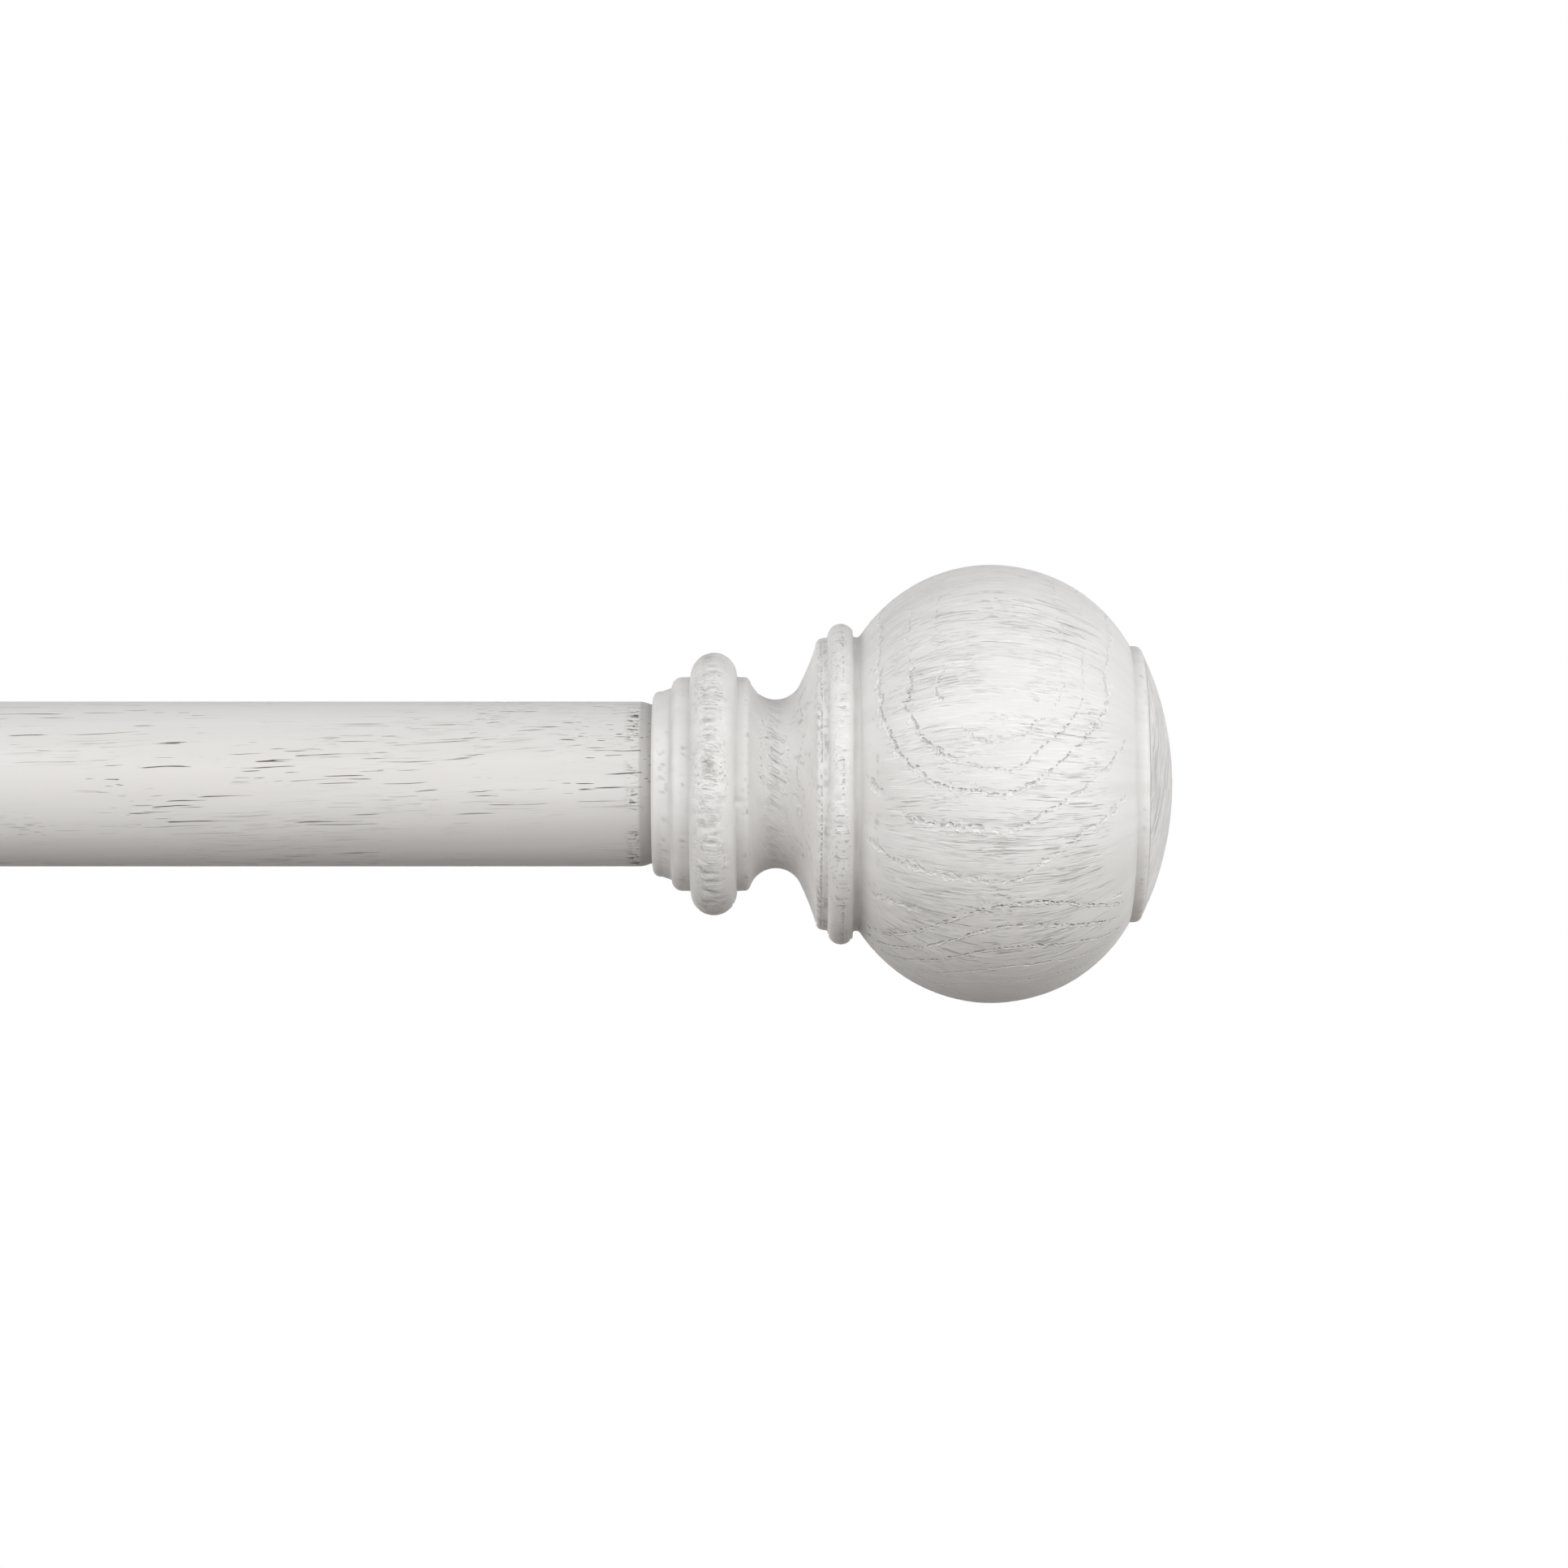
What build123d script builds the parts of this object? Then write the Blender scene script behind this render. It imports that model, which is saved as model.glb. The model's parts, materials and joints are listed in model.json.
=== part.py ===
from build123d import *
import os

# Telescoping curtain rod with turned ball finials, held by two adjustable wall brackets.
# The wall is the plane y = 0, the room lies towards -Y and +X runs along the rod.
# The origin is on the wall, midway between the brackets and level with the rod.

# Rod: a one inch tube with a slimmer tube sliding inside it
ROD_PROJECTION = 89.0
ROD_HALF_LENGTH = 431.0
OUTER_RADIUS = 12.7
OUTER_LENGTH = 686.0
INNER_RADIUS = 11.1
INNER_LENGTH = 660.0
TUBE_WALL = 0.7
MOUTH_LENGTH = 1.6
MOUTH_STEP = 0.5

# Clearances: pieces that slide or turn, pieces pushed together for good, faces that only meet
RUNNING_FIT = 0.05
SEAT_FIT = 0.03
FACE_GAP = 0.1

# Plastic pieces in the tube ends
PLUG_RECESS = 2.2
PLUG_LENGTH = 18.0
PLUG_WEB = 2.5
PLUG_RING = 1.5
PLUG_BOSS_RADIUS = 5.5
PLUG_RIB = 1.4
PLUG_RIB_COUNT = 6
SLEEVE_LENGTH = 25.0
SLEEVE_LIP = 2.0
GLIDE_BORE_RADIUS = 9.2
GLIDE_SPIGOT = 12.0
GLIDE_WIDTH = 6.0

# Threaded stud and brass insert that hold a finial
STUD_RADIUS = 3.175
STUD_REACH = 14.0
STUD_CHAMFER = 0.6
INSERT_RADIUS = 4.75
INSERT_LENGTH = 15.0
INSERT_RECESS = 0.3
INSERT_HOLE_DEPTH = 16.5

# Turned finial: distance from its base and radius at each turn of the profile
BASE_CORNER = (0.0, 14.4)
FOOT_END = (2.8, 14.9)
OVOLO_ROUND = 1.7
COLLAR_RADIUS = 16.6
BEAD_START = (5.7, COLLAR_RADIUS)
BEAD_TOP = (9.4, 20.35)
BEAD_END = (13.1, COLLAR_RADIUS)
COLLAR_CORNER = (15.0, COLLAR_RADIUS)
COVE_START = (15.05, 16.0)
COVE_BOTTOM = (18.9, 13.13)
COVE_END = (22.6, 15.63)
FLARE_CORNER = (25.4, 22.7)
RING_START = (26.7, 22.7)
RING_TOP = (28.9, 24.85)
RING_END = (31.1, 22.7)
GROOVE = (31.5, 22.19)
BALL_TOP = (52.2, 33.85)
BALL_END = (73.1, 21.85)
RIM_START = (73.2, 21.4)
RIM_CORNER = (75.1, 21.4)
DOME_START = (75.4, 19.9)
DOME_TOP = (80.05, 0.0)
BASE_ROUND = 1.3
COLLAR_ROUND = 0.4
FLARE_ROUND = 0.6
RIM_ROUND = 1.0

# Wall bracket: plate, socket and sliding arm
BRACKET_X = 281.0
PLATE_WIDTH = 30.0
PLATE_HEIGHT = 84.0
PLATE_THICKNESS = 3.0
PLATE_EDGE_ROUND = 1.2
WALL_HOLE_RADIUS = 2.4
WALL_HOLE_SINK_RADIUS = 4.2
WALL_HOLE_HEIGHT = 30.0
SINK_ANGLE = 90
SCREW_RADIUS = 2.5
SCREW_HEAD_RADIUS = 4.7
SCREW_END = 13.0
SCREW_HEX_RADIUS = 1.7
SCREW_HEX_DEPTH = 1.8
FLANGE_RADIUS = 13.0
FLANGE_FRONT = 6.5
FLANGE_ROUND = 1.2
BARREL_RADIUS = 8.0
BARREL_ROOT_ROUND = 3.0
COLLAR_BACK = 44.0
SOCKET_COLLAR_RADIUS = 11.0
COLLAR_NECK_ROUND = 1.5
SOCKET_FRONT = 60.0
SOCKET_BOTTOM = 14.0
ARM_RADIUS = 5.0
ARM_BACK = 16.0
ARM_CHAMFER = 0.6
ARM_SHOULDER = 63.0
TENON_RADIUS = 3.5
TENON_LENGTH = 7.0

# Cradle that the rod lies in
SADDLE_GAP = 0.3
SADDLE_WALL = 4.0
CRADLE_WIDTH = 14.0
CRADLE_BACK_HEIGHT = 14.0
CRADLE_LIP_HEIGHT = 5.0
CRADLE_TIP_ROUND = 1.9
CRADLE_EDGE_ROUND = 0.9
ARM_BOSS_RADIUS = 6.4
ARM_BOSS_SINK = 12.0
SCREW_BOSS_RADIUS = 5.5
SCREW_BOSS_SINK = 7.0
CRADLE_BOSS_BOTTOM = 22.0

# Thumbscrews that lock the arm in its socket and the rod in its cradle
LOCK_DISTANCE = 53.0
THUMB_RADIUS = 2.5
THUMB_TIP_RADIUS = 1.7
THUMB_TIP_LENGTH = 1.0
THUMB_REACH = 11.2
THUMB_SEAT = 6.0
KNOB_GAP = 2.0
KNOB_RADIUS = 8.0
KNOB_HEIGHT = 8.0
KNOB_EDGE = 0.9
KNOB_NECK_RADIUS = 4.8
KNOB_NECK_LENGTH = 1.4
FLUTE_RADIUS = 1.2
FLUTE_OFFSET = 0.5
FLUTE_COUNT = 16

UP = (0, 0, 1)
DOWN = (0, 0, -1)
TO_ROOM = (0, -1, 0)
TO_WALL = (0, 1, 0)
ALONG_ROD = (1, 0, 0)


def turning_plane(origin, along, radial):
    """Plane of a half profile: x runs along the turning axis and y is the radius."""
    along = Vector(along)
    return Plane(origin, x_dir=along, z_dir=along.cross(Vector(radial)))


def rod_plane(x, outward):
    """Turning plane on the rod axis, with its x axis pointing out of the rod's end."""
    return turning_plane((x, -ROD_PROJECTION, 0), (outward, 0, 0), UP)


def arm_plane(x):
    """Turning plane on a bracket's arm axis, measured from the wall into the room."""
    return turning_plane((x, 0, 0), TO_ROOM, UP)


def turned(plane, profile):
    """Solid turned from a closed half profile of straight lines."""
    with BuildPart() as piece:
        with BuildSketch(plane):
            with BuildLine():
                Polyline(*profile, close=True)
            make_face()
        revolve(axis=Axis(plane.origin, plane.x_dir))
    return piece


def save(piece, name):
    """Label a finished piece and write it under its own name."""
    piece.part.label = name
    export_step(piece.part, f"parts/{name}.step")


# Tubes with a coned mouth at the finial end
def coned_tube(plane, radius, length):
    bore = radius - TUBE_WALL
    profile = [
        (0, radius - MOUTH_STEP),
        (-MOUTH_LENGTH, radius),
        (-length, radius),
        (-length, bore),
        (-MOUTH_LENGTH, bore),
        (0, bore - MOUTH_STEP),
    ]
    return turned(plane, profile)


# Moulded plug in a tube's mouth: front web, outer ring, ribs and a boss tapped for the stud
def end_plug(plane, radius):
    inward = Vector(plane.x_dir) * -1
    front = Plane(plane.origin + inward * PLUG_RECESS, x_dir=UP, z_dir=inward)
    ring_radius = radius - PLUG_RING
    rib_length = ring_radius - PLUG_BOSS_RADIUS + PLUG_RING
    with BuildPart() as plug:
        with BuildSketch(front):
            Circle(radius)
        extrude(amount=PLUG_WEB)
        with BuildSketch(front):
            Circle(radius)
            Circle(ring_radius, mode=Mode.SUBTRACT)
            with PolarLocations((ring_radius + PLUG_BOSS_RADIUS) / 2, PLUG_RIB_COUNT):
                Rectangle(rib_length, PLUG_RIB)
            Circle(PLUG_BOSS_RADIUS)
        extrude(amount=PLUG_LENGTH)
        with BuildSketch(front):
            Circle(STUD_RADIUS + RUNNING_FIT)
        extrude(amount=PLUG_LENGTH, mode=Mode.SUBTRACT)
    return plug


# Sleeve in the open end of the outer tube, which the inner tube slides through
def mouth_sleeve(plane):
    bore = INNER_RADIUS + RUNNING_FIT
    spigot_radius = OUTER_RADIUS - TUBE_WALL - SEAT_FIT
    profile = [
        (-SLEEVE_LENGTH, bore),
        (-SLEEVE_LENGTH, spigot_radius),
        (0, spigot_radius),
        (0, OUTER_RADIUS),
        (SLEEVE_LIP / 2, OUTER_RADIUS),
        (SLEEVE_LIP, (OUTER_RADIUS + bore) / 2),
        (SLEEVE_LIP, bore),
    ]
    return turned(plane, profile)


# Glide on the hidden end of the inner tube, which runs along the outer tube's bore
def glide_ring(plane):
    spigot_radius = INNER_RADIUS - TUBE_WALL - SEAT_FIT
    glide_radius = OUTER_RADIUS - TUBE_WALL - RUNNING_FIT
    profile = [
        (-GLIDE_SPIGOT, GLIDE_BORE_RADIUS),
        (-GLIDE_SPIGOT, spigot_radius),
        (0, spigot_radius),
        (0, glide_radius),
        (GLIDE_WIDTH, glide_radius),
        (GLIDE_WIDTH, GLIDE_BORE_RADIUS),
    ]
    return turned(plane, profile)


# Finial body: foot, bead, cove and flared ring under a ball with a domed end
def finial(plane):
    hole_radius = INSERT_RADIUS + SEAT_FIT
    ovolo_end = (FOOT_END[0] + OVOLO_ROUND, COLLAR_RADIUS)
    rounds = [
        (BASE_CORNER, BASE_ROUND),
        (COLLAR_CORNER, COLLAR_ROUND),
        (FLARE_CORNER, FLARE_ROUND),
        (RIM_CORNER, RIM_ROUND),
    ]
    with BuildPart() as body:
        with BuildSketch(plane):
            with BuildLine():
                Polyline(DOME_TOP, (INSERT_HOLE_DEPTH, 0), (INSERT_HOLE_DEPTH, hole_radius),
                         (FACE_GAP, hole_radius), (FACE_GAP, BASE_CORNER[1]), FOOT_END)
                TangentArc(ovolo_end, FOOT_END, tangent=(-1, 0))
                Line(ovolo_end, BEAD_START)
                ThreePointArc(BEAD_START, BEAD_TOP, BEAD_END)
                Polyline(BEAD_END, COLLAR_CORNER, COVE_START)
                ThreePointArc(COVE_START, COVE_BOTTOM, COVE_END)
                Polyline(COVE_END, FLARE_CORNER, RING_START)
                ThreePointArc(RING_START, RING_TOP, RING_END)
                Line(RING_END, GROOVE)
                ThreePointArc(GROOVE, BALL_TOP, BALL_END)
                Polyline(BALL_END, RIM_START, RIM_CORNER, DOME_START)
                TangentArc(DOME_TOP, DOME_START, tangent=(0, 1))
            make_face()
            for corner, corner_round in rounds:
                fillet(vertices().sort_by_distance(corner)[0], corner_round)
        revolve(axis=Axis(plane.origin, plane.x_dir))
    return body


# Brass insert sunk in the finial's base
def finial_insert(plane):
    bore = STUD_RADIUS + RUNNING_FIT
    end = INSERT_RECESS + INSERT_LENGTH
    profile = [(INSERT_RECESS, bore), (INSERT_RECESS, INSERT_RADIUS), (end, INSERT_RADIUS), (end, bore)]
    return turned(plane, profile)


# Stud that screws the finial to the plug in the tube
def finial_stud(plane):
    shoulder = STUD_REACH - STUD_CHAMFER
    end_radius = STUD_RADIUS - STUD_CHAMFER
    profile = [
        (-STUD_REACH, 0),
        (-STUD_REACH, end_radius),
        (-shoulder, STUD_RADIUS),
        (shoulder, STUD_RADIUS),
        (STUD_REACH, end_radius),
        (STUD_REACH, 0),
    ]
    return turned(plane, profile)


# Wall plate with two countersunk wall holes and a hole countersunk from behind for the socket screw
def wall_plate(x):
    back = Plane((x, 0, 0), x_dir=(-1, 0, 0), z_dir=TO_WALL)
    front = Plane((x, -PLATE_THICKNESS, 0), x_dir=ALONG_ROD, z_dir=TO_ROOM)
    with BuildPart() as plate:
        with BuildSketch(front):
            SlotOverall(PLATE_HEIGHT, PLATE_WIDTH, rotation=90)
        extrude(amount=-PLATE_THICKNESS)
        fillet(faces().sort_by(Axis.Y)[0].edges(), radius=PLATE_EDGE_ROUND)
        with Locations(front):
            with Locations((0, WALL_HOLE_HEIGHT), (0, -WALL_HOLE_HEIGHT)):
                CounterSinkHole(WALL_HOLE_RADIUS, WALL_HOLE_SINK_RADIUS, counter_sink_angle=SINK_ANGLE)
        with Locations(back):
            CounterSinkHole(SCREW_RADIUS + FACE_GAP, SCREW_HEAD_RADIUS + FACE_GAP,
                            counter_sink_angle=SINK_ANGLE)
    return plate


# Screw that draws the socket against the wall plate, with a hexagon socket in its head
def socket_screw(x):
    plane = arm_plane(x)
    cone_end = FACE_GAP + SCREW_HEAD_RADIUS - SCREW_RADIUS
    head = Plane((x, -FACE_GAP, 0), x_dir=ALONG_ROD, z_dir=TO_ROOM)
    with BuildPart() as screw:
        with BuildSketch(plane):
            with BuildLine():
                Polyline((FACE_GAP, 0), (FACE_GAP, SCREW_HEAD_RADIUS), (cone_end, SCREW_RADIUS),
                         (SCREW_END, SCREW_RADIUS), (SCREW_END, 0), close=True)
            make_face()
        revolve(axis=Axis(plane.origin, plane.x_dir))
        with BuildSketch(head):
            RegularPolygon(SCREW_HEX_RADIUS, side_count=6)
        extrude(amount=SCREW_HEX_DEPTH, mode=Mode.SUBTRACT)
    return screw


# Turned socket: wall flange, barrel and a mouth collar with a boss for the lock screw
def arm_socket(x):
    plane = arm_plane(x)
    bore = ARM_RADIUS + RUNNING_FIT
    tapping = SCREW_RADIUS + RUNNING_FIT
    boss_bottom = ARM_RADIUS + FACE_GAP + THUMB_REACH - KNOB_GAP
    boss = Plane((x, -LOCK_DISTANCE, -boss_bottom), x_dir=ALONG_ROD, z_dir=DOWN)
    rounds = [
        ((FLANGE_FRONT, FLANGE_RADIUS), FLANGE_ROUND),
        ((FLANGE_FRONT, BARREL_RADIUS), BARREL_ROOT_ROUND),
        ((COLLAR_BACK, BARREL_RADIUS), COLLAR_NECK_ROUND),
        ((COLLAR_BACK, SOCKET_COLLAR_RADIUS), FLANGE_ROUND),
        ((SOCKET_FRONT, SOCKET_COLLAR_RADIUS), FLANGE_ROUND),
    ]
    with BuildPart() as socket:
        with BuildSketch(plane):
            with BuildLine():
                Polyline(
                    (PLATE_THICKNESS, tapping),
                    (PLATE_THICKNESS, FLANGE_RADIUS),
                    (FLANGE_FRONT, FLANGE_RADIUS),
                    (FLANGE_FRONT, BARREL_RADIUS),
                    (COLLAR_BACK, BARREL_RADIUS),
                    (COLLAR_BACK, SOCKET_COLLAR_RADIUS),
                    (SOCKET_FRONT, SOCKET_COLLAR_RADIUS),
                    (SOCKET_FRONT, bore),
                    (SOCKET_BOTTOM, bore),
                    (SOCKET_BOTTOM, tapping),
                    close=True,
                )
            make_face()
            for corner, corner_round in rounds:
                fillet(vertices().sort_by_distance(corner)[0], corner_round)
        revolve(axis=Axis(plane.origin, plane.x_dir))
        with BuildSketch(boss):
            Circle(SCREW_BOSS_RADIUS)
        extrude(amount=-SCREW_BOSS_SINK)
        with Locations(boss):
            Hole(THUMB_RADIUS + RUNNING_FIT, depth=boss_bottom - ARM_RADIUS / 2)
    return socket


# Arm that slides in the socket, with a tenon for the cradle
def bracket_arm(x):
    tenon_end = ARM_SHOULDER + TENON_LENGTH
    profile = [
        (ARM_BACK, 0),
        (ARM_BACK, ARM_RADIUS - ARM_CHAMFER),
        (ARM_BACK + ARM_CHAMFER, ARM_RADIUS),
        (ARM_SHOULDER, ARM_RADIUS),
        (ARM_SHOULDER, TENON_RADIUS),
        (tenon_end, TENON_RADIUS),
        (tenon_end, 0),
    ]
    return turned(arm_plane(x), profile)


# Open cradle: a U with a high back, a low front lip, a boss for the arm and one for the lock screw
def cradle(x):
    inner = OUTER_RADIUS + SADDLE_GAP
    outer = inner + SADDLE_WALL
    section = Plane((x, -ROD_PROJECTION, 0), x_dir=TO_WALL, z_dir=ALONG_ROD)
    rear = Plane((x, -ARM_SHOULDER, 0), x_dir=ALONG_ROD, z_dir=TO_WALL)
    below = Plane((x, -ROD_PROJECTION, -CRADLE_BOSS_BOTTOM), x_dir=ALONG_ROD, z_dir=DOWN)
    with BuildPart() as saddle:
        with BuildSketch(section):
            with BuildLine():
                Polyline((-inner, 0), (-inner, CRADLE_LIP_HEIGHT), (-outer, CRADLE_LIP_HEIGHT), (-outer, 0))
                ThreePointArc((-outer, 0), (0, -outer), (outer, 0))
                Polyline((outer, 0), (outer, CRADLE_BACK_HEIGHT), (inner, CRADLE_BACK_HEIGHT), (inner, 0))
                ThreePointArc((inner, 0), (0, -inner), (-inner, 0))
            make_face()
            tips = vertices().filter_by_position(Axis.Y, CRADLE_LIP_HEIGHT, CRADLE_BACK_HEIGHT)
            fillet(tips, radius=CRADLE_TIP_ROUND)
        extrude(amount=CRADLE_WIDTH / 2, both=True)
        fillet(faces().filter_by(Axis.X).edges(), radius=CRADLE_EDGE_ROUND)
        with BuildSketch(rear):
            Circle(ARM_BOSS_RADIUS)
        extrude(amount=-ARM_BOSS_SINK)
        with BuildSketch(below):
            Circle(SCREW_BOSS_RADIUS)
        extrude(amount=-SCREW_BOSS_SINK)
        with Locations(rear):
            Hole(TENON_RADIUS + SEAT_FIT, depth=TENON_LENGTH + FACE_GAP)
        with Locations(below):
            Hole(THUMB_RADIUS + RUNNING_FIT, depth=CRADLE_BOSS_BOTTOM - inner + SADDLE_WALL / 2)
    return saddle


# Steel shank of a thumbscrew, from its tip downwards
def thumb_shank(x, y, tip):
    end = THUMB_REACH + THUMB_SEAT
    profile = [(0, 0), (0, THUMB_TIP_RADIUS), (THUMB_TIP_LENGTH, THUMB_RADIUS), (end, THUMB_RADIUS), (end, 0)]
    return turned(turning_plane((x, y, tip), DOWN, ALONG_ROD), profile)


# Fluted knob on the lower end of the shank
def thumb_knob(x, y, tip):
    top = tip - THUMB_REACH
    plane = turning_plane((x, y, top), DOWN, ALONG_ROD)
    hole_radius = THUMB_RADIUS + RUNNING_FIT
    hole_depth = THUMB_SEAT + FACE_GAP
    rim = KNOB_RADIUS - KNOB_EDGE
    with BuildPart() as knob:
        with BuildSketch(plane):
            with BuildLine():
                Polyline(
                    (0, hole_radius),
                    (0, KNOB_NECK_RADIUS),
                    (KNOB_NECK_LENGTH, KNOB_NECK_RADIUS),
                    (KNOB_NECK_LENGTH, rim),
                    (KNOB_NECK_LENGTH + KNOB_EDGE, KNOB_RADIUS),
                    (KNOB_HEIGHT - KNOB_EDGE, KNOB_RADIUS),
                    (KNOB_HEIGHT, rim),
                    (KNOB_HEIGHT, 0),
                    (hole_depth, 0),
                    (hole_depth, hole_radius),
                    close=True,
                )
            make_face()
        revolve(axis=Axis(plane.origin, plane.x_dir))
        with BuildSketch(Plane((x, y, top - KNOB_HEIGHT))):
            with PolarLocations(KNOB_RADIUS + FLUTE_OFFSET, FLUTE_COUNT):
                Circle(FLUTE_RADIUS)
        extrude(amount=KNOB_HEIGHT, mode=Mode.SUBTRACT)
    return knob


os.makedirs("parts", exist_ok=True)

# The rod's two tubes and the plastic pieces at their hidden ends
outer_open_end = ROD_HALF_LENGTH - OUTER_LENGTH
inner_hidden_end = INNER_LENGTH - ROD_HALF_LENGTH
save(coned_tube(rod_plane(ROD_HALF_LENGTH, 1), OUTER_RADIUS, OUTER_LENGTH), "outer_tube")
save(coned_tube(rod_plane(-ROD_HALF_LENGTH, -1), INNER_RADIUS, INNER_LENGTH), "inner_tube")
save(mouth_sleeve(rod_plane(outer_open_end, -1)), "mouth_sleeve")
save(glide_ring(rod_plane(inner_hidden_end, 1)), "glide_ring")

# The same end fittings and bracket at each end; the slimmer tube lies on a longer-reaching screw
for side, outward, tube_radius in (("right", 1, OUTER_RADIUS), ("left", -1, INNER_RADIUS)):
    rod_end = rod_plane(outward * ROD_HALF_LENGTH, outward)
    save(end_plug(rod_end, tube_radius - TUBE_WALL - SEAT_FIT), f"{side}_end_plug")
    save(finial_stud(rod_end), f"{side}_finial_stud")
    save(finial_insert(rod_end), f"{side}_finial_insert")
    save(finial(rod_end), f"{side}_finial")

    bracket_x = outward * BRACKET_X
    save(wall_plate(bracket_x), f"{side}_wall_plate")
    save(socket_screw(bracket_x), f"{side}_socket_screw")
    save(arm_socket(bracket_x), f"{side}_arm_socket")
    save(bracket_arm(bracket_x), f"{side}_arm")
    save(cradle(bracket_x), f"{side}_cradle")

    arm_tip = -ARM_RADIUS - FACE_GAP
    rod_tip = -tube_radius - FACE_GAP
    save(thumb_shank(bracket_x, -LOCK_DISTANCE, arm_tip), f"{side}_arm_lock_shank")
    save(thumb_knob(bracket_x, -LOCK_DISTANCE, arm_tip), f"{side}_arm_lock_knob")
    save(thumb_shank(bracket_x, -ROD_PROJECTION, rod_tip), f"{side}_rod_lock_shank")
    save(thumb_knob(bracket_x, -ROD_PROJECTION, rod_tip), f"{side}_rod_lock_knob")
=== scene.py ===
# %% [markdown]
# # A curtain rod in weathered white
# The part is a telescoping curtain rod with cast finials, lying in two adjustable wall brackets. The packed
# model is loaded first: it gives every piece its place, its moving body and its finish slot. Pieces whose
# CAD shape is already right only get a finish here. The finials, the tubes and the threads are made anew,
# because they have detail that belongs to the looks.

# %% Load the frame
import json
import math

import bmesh
import bpy
from mathutils import Matrix, Vector, noise


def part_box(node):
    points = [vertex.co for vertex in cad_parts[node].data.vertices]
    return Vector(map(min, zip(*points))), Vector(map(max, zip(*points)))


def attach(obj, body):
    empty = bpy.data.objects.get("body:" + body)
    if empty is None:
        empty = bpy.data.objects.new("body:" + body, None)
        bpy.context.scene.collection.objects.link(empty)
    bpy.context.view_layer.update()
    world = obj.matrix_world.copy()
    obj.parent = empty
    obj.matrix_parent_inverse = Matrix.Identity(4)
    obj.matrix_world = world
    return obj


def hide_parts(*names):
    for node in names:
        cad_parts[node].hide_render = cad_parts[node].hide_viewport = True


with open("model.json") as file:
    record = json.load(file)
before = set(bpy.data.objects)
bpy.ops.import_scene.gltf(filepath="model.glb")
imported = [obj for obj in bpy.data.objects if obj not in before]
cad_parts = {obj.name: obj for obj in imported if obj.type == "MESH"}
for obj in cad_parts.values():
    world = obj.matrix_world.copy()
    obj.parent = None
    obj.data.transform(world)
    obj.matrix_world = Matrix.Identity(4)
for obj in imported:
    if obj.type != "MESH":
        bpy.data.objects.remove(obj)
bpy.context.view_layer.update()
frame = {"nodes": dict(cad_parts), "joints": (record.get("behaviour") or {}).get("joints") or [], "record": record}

MM = 0.001
SIDES = ("right", "left")
record = frame["record"]
joints = {joint["name"]: joint for joint in frame["joints"]}
body_of = {node: body for body, nodes in record["behaviour"]["bodies"].items() for node in nodes}
finial_base = {side: Vector(joints[f"{side}_finial_turn"]["pos_m"]) for side in SIDES}
rod_axis = finial_base["right"]

# %% [markdown]
# ## Camera
# The photograph looks straight at the right-hand end of the rod, level with its axis. One millimetre of the
# rod covers eight pixels there, so the width of the view and the distance give the lens. A long lens from
# 0.7 m keeps the turned rings almost straight, with only a slight bulge towards the viewer.

# %% Camera at the photograph's view
IMAGE_PIXELS = 1932
PIXELS_PER_MM = 8.0
FINIAL_BASE_PIXEL = 804.5
CAMERA_DISTANCE = 0.700
SENSOR_MM = 36.0

view_width = IMAGE_PIXELS / PIXELS_PER_MM * MM
camera_x = rod_axis.x + (IMAGE_PIXELS / 2 - FINIAL_BASE_PIXEL) / PIXELS_PER_MM * MM
camera_data = bpy.data.cameras.new("photo_camera")
camera_data.sensor_width = SENSOR_MM
camera_data.lens = SENSOR_MM * CAMERA_DISTANCE / view_width
camera = bpy.data.objects.new("photo_camera", camera_data)
camera.location = (camera_x, rod_axis.y - CAMERA_DISTANCE, rod_axis.z)
camera.rotation_euler = (math.radians(90), 0, 0)
bpy.context.scene.collection.objects.link(camera)
bpy.context.scene.camera = camera
print("lens", round(camera_data.lens, 1), "mm for a view", round(view_width / MM, 1), "mm wide")

# %% [markdown]
# ## Node helpers
# Every finish here is drawn by shader nodes, and a tree is easier to read when one call adds a node, sets
# its options and feeds its inputs. An input takes either a plain value or another node's output. A group
# is a small tree with named inputs and outputs that several finishes share.


# %% Helpers for shader trees
def add_node(tree, kind, inputs=None, **options):
    """Add a shader node with its options, and feed its inputs by name or number."""
    made = tree.nodes.new(kind)
    for option, value in options.items():
        setattr(made, option, value)
    for socket, value in (inputs or {}).items():
        if isinstance(value, bpy.types.NodeSocket):
            tree.links.new(value, made.inputs[socket])
        else:
            made.inputs[socket].default_value = value
    return made


def calculate(tree, operation, first, second=0.0):
    """The output of a Math node."""
    return add_node(tree, "ShaderNodeMath", {0: first, 1: second}, operation=operation).outputs[0]


def ramp_up(tree, value, low, high):
    """A mask that rises smoothly from 0 at low to 1 at high."""
    inputs = {"Value": value, "From Min": low, "From Max": high}
    return add_node(tree, "ShaderNodeMapRange", inputs, interpolation_type="SMOOTHSTEP").outputs["Result"]


def noise_value(tree, place, scale, detail=2.0):
    """The value of a noise texture at a place."""
    inputs = {"Vector": place, "Scale": scale, "Detail": detail, "Roughness": 0.55}
    return add_node(tree, "ShaderNodeTexNoise", inputs).outputs[0]


def mix_colour(tree, share, first, second):
    """The colour between two colours."""
    inputs = {0: share, 6: first, 7: second}
    return add_node(tree, "ShaderNodeMix", inputs, data_type="RGBA").outputs[2]


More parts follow.
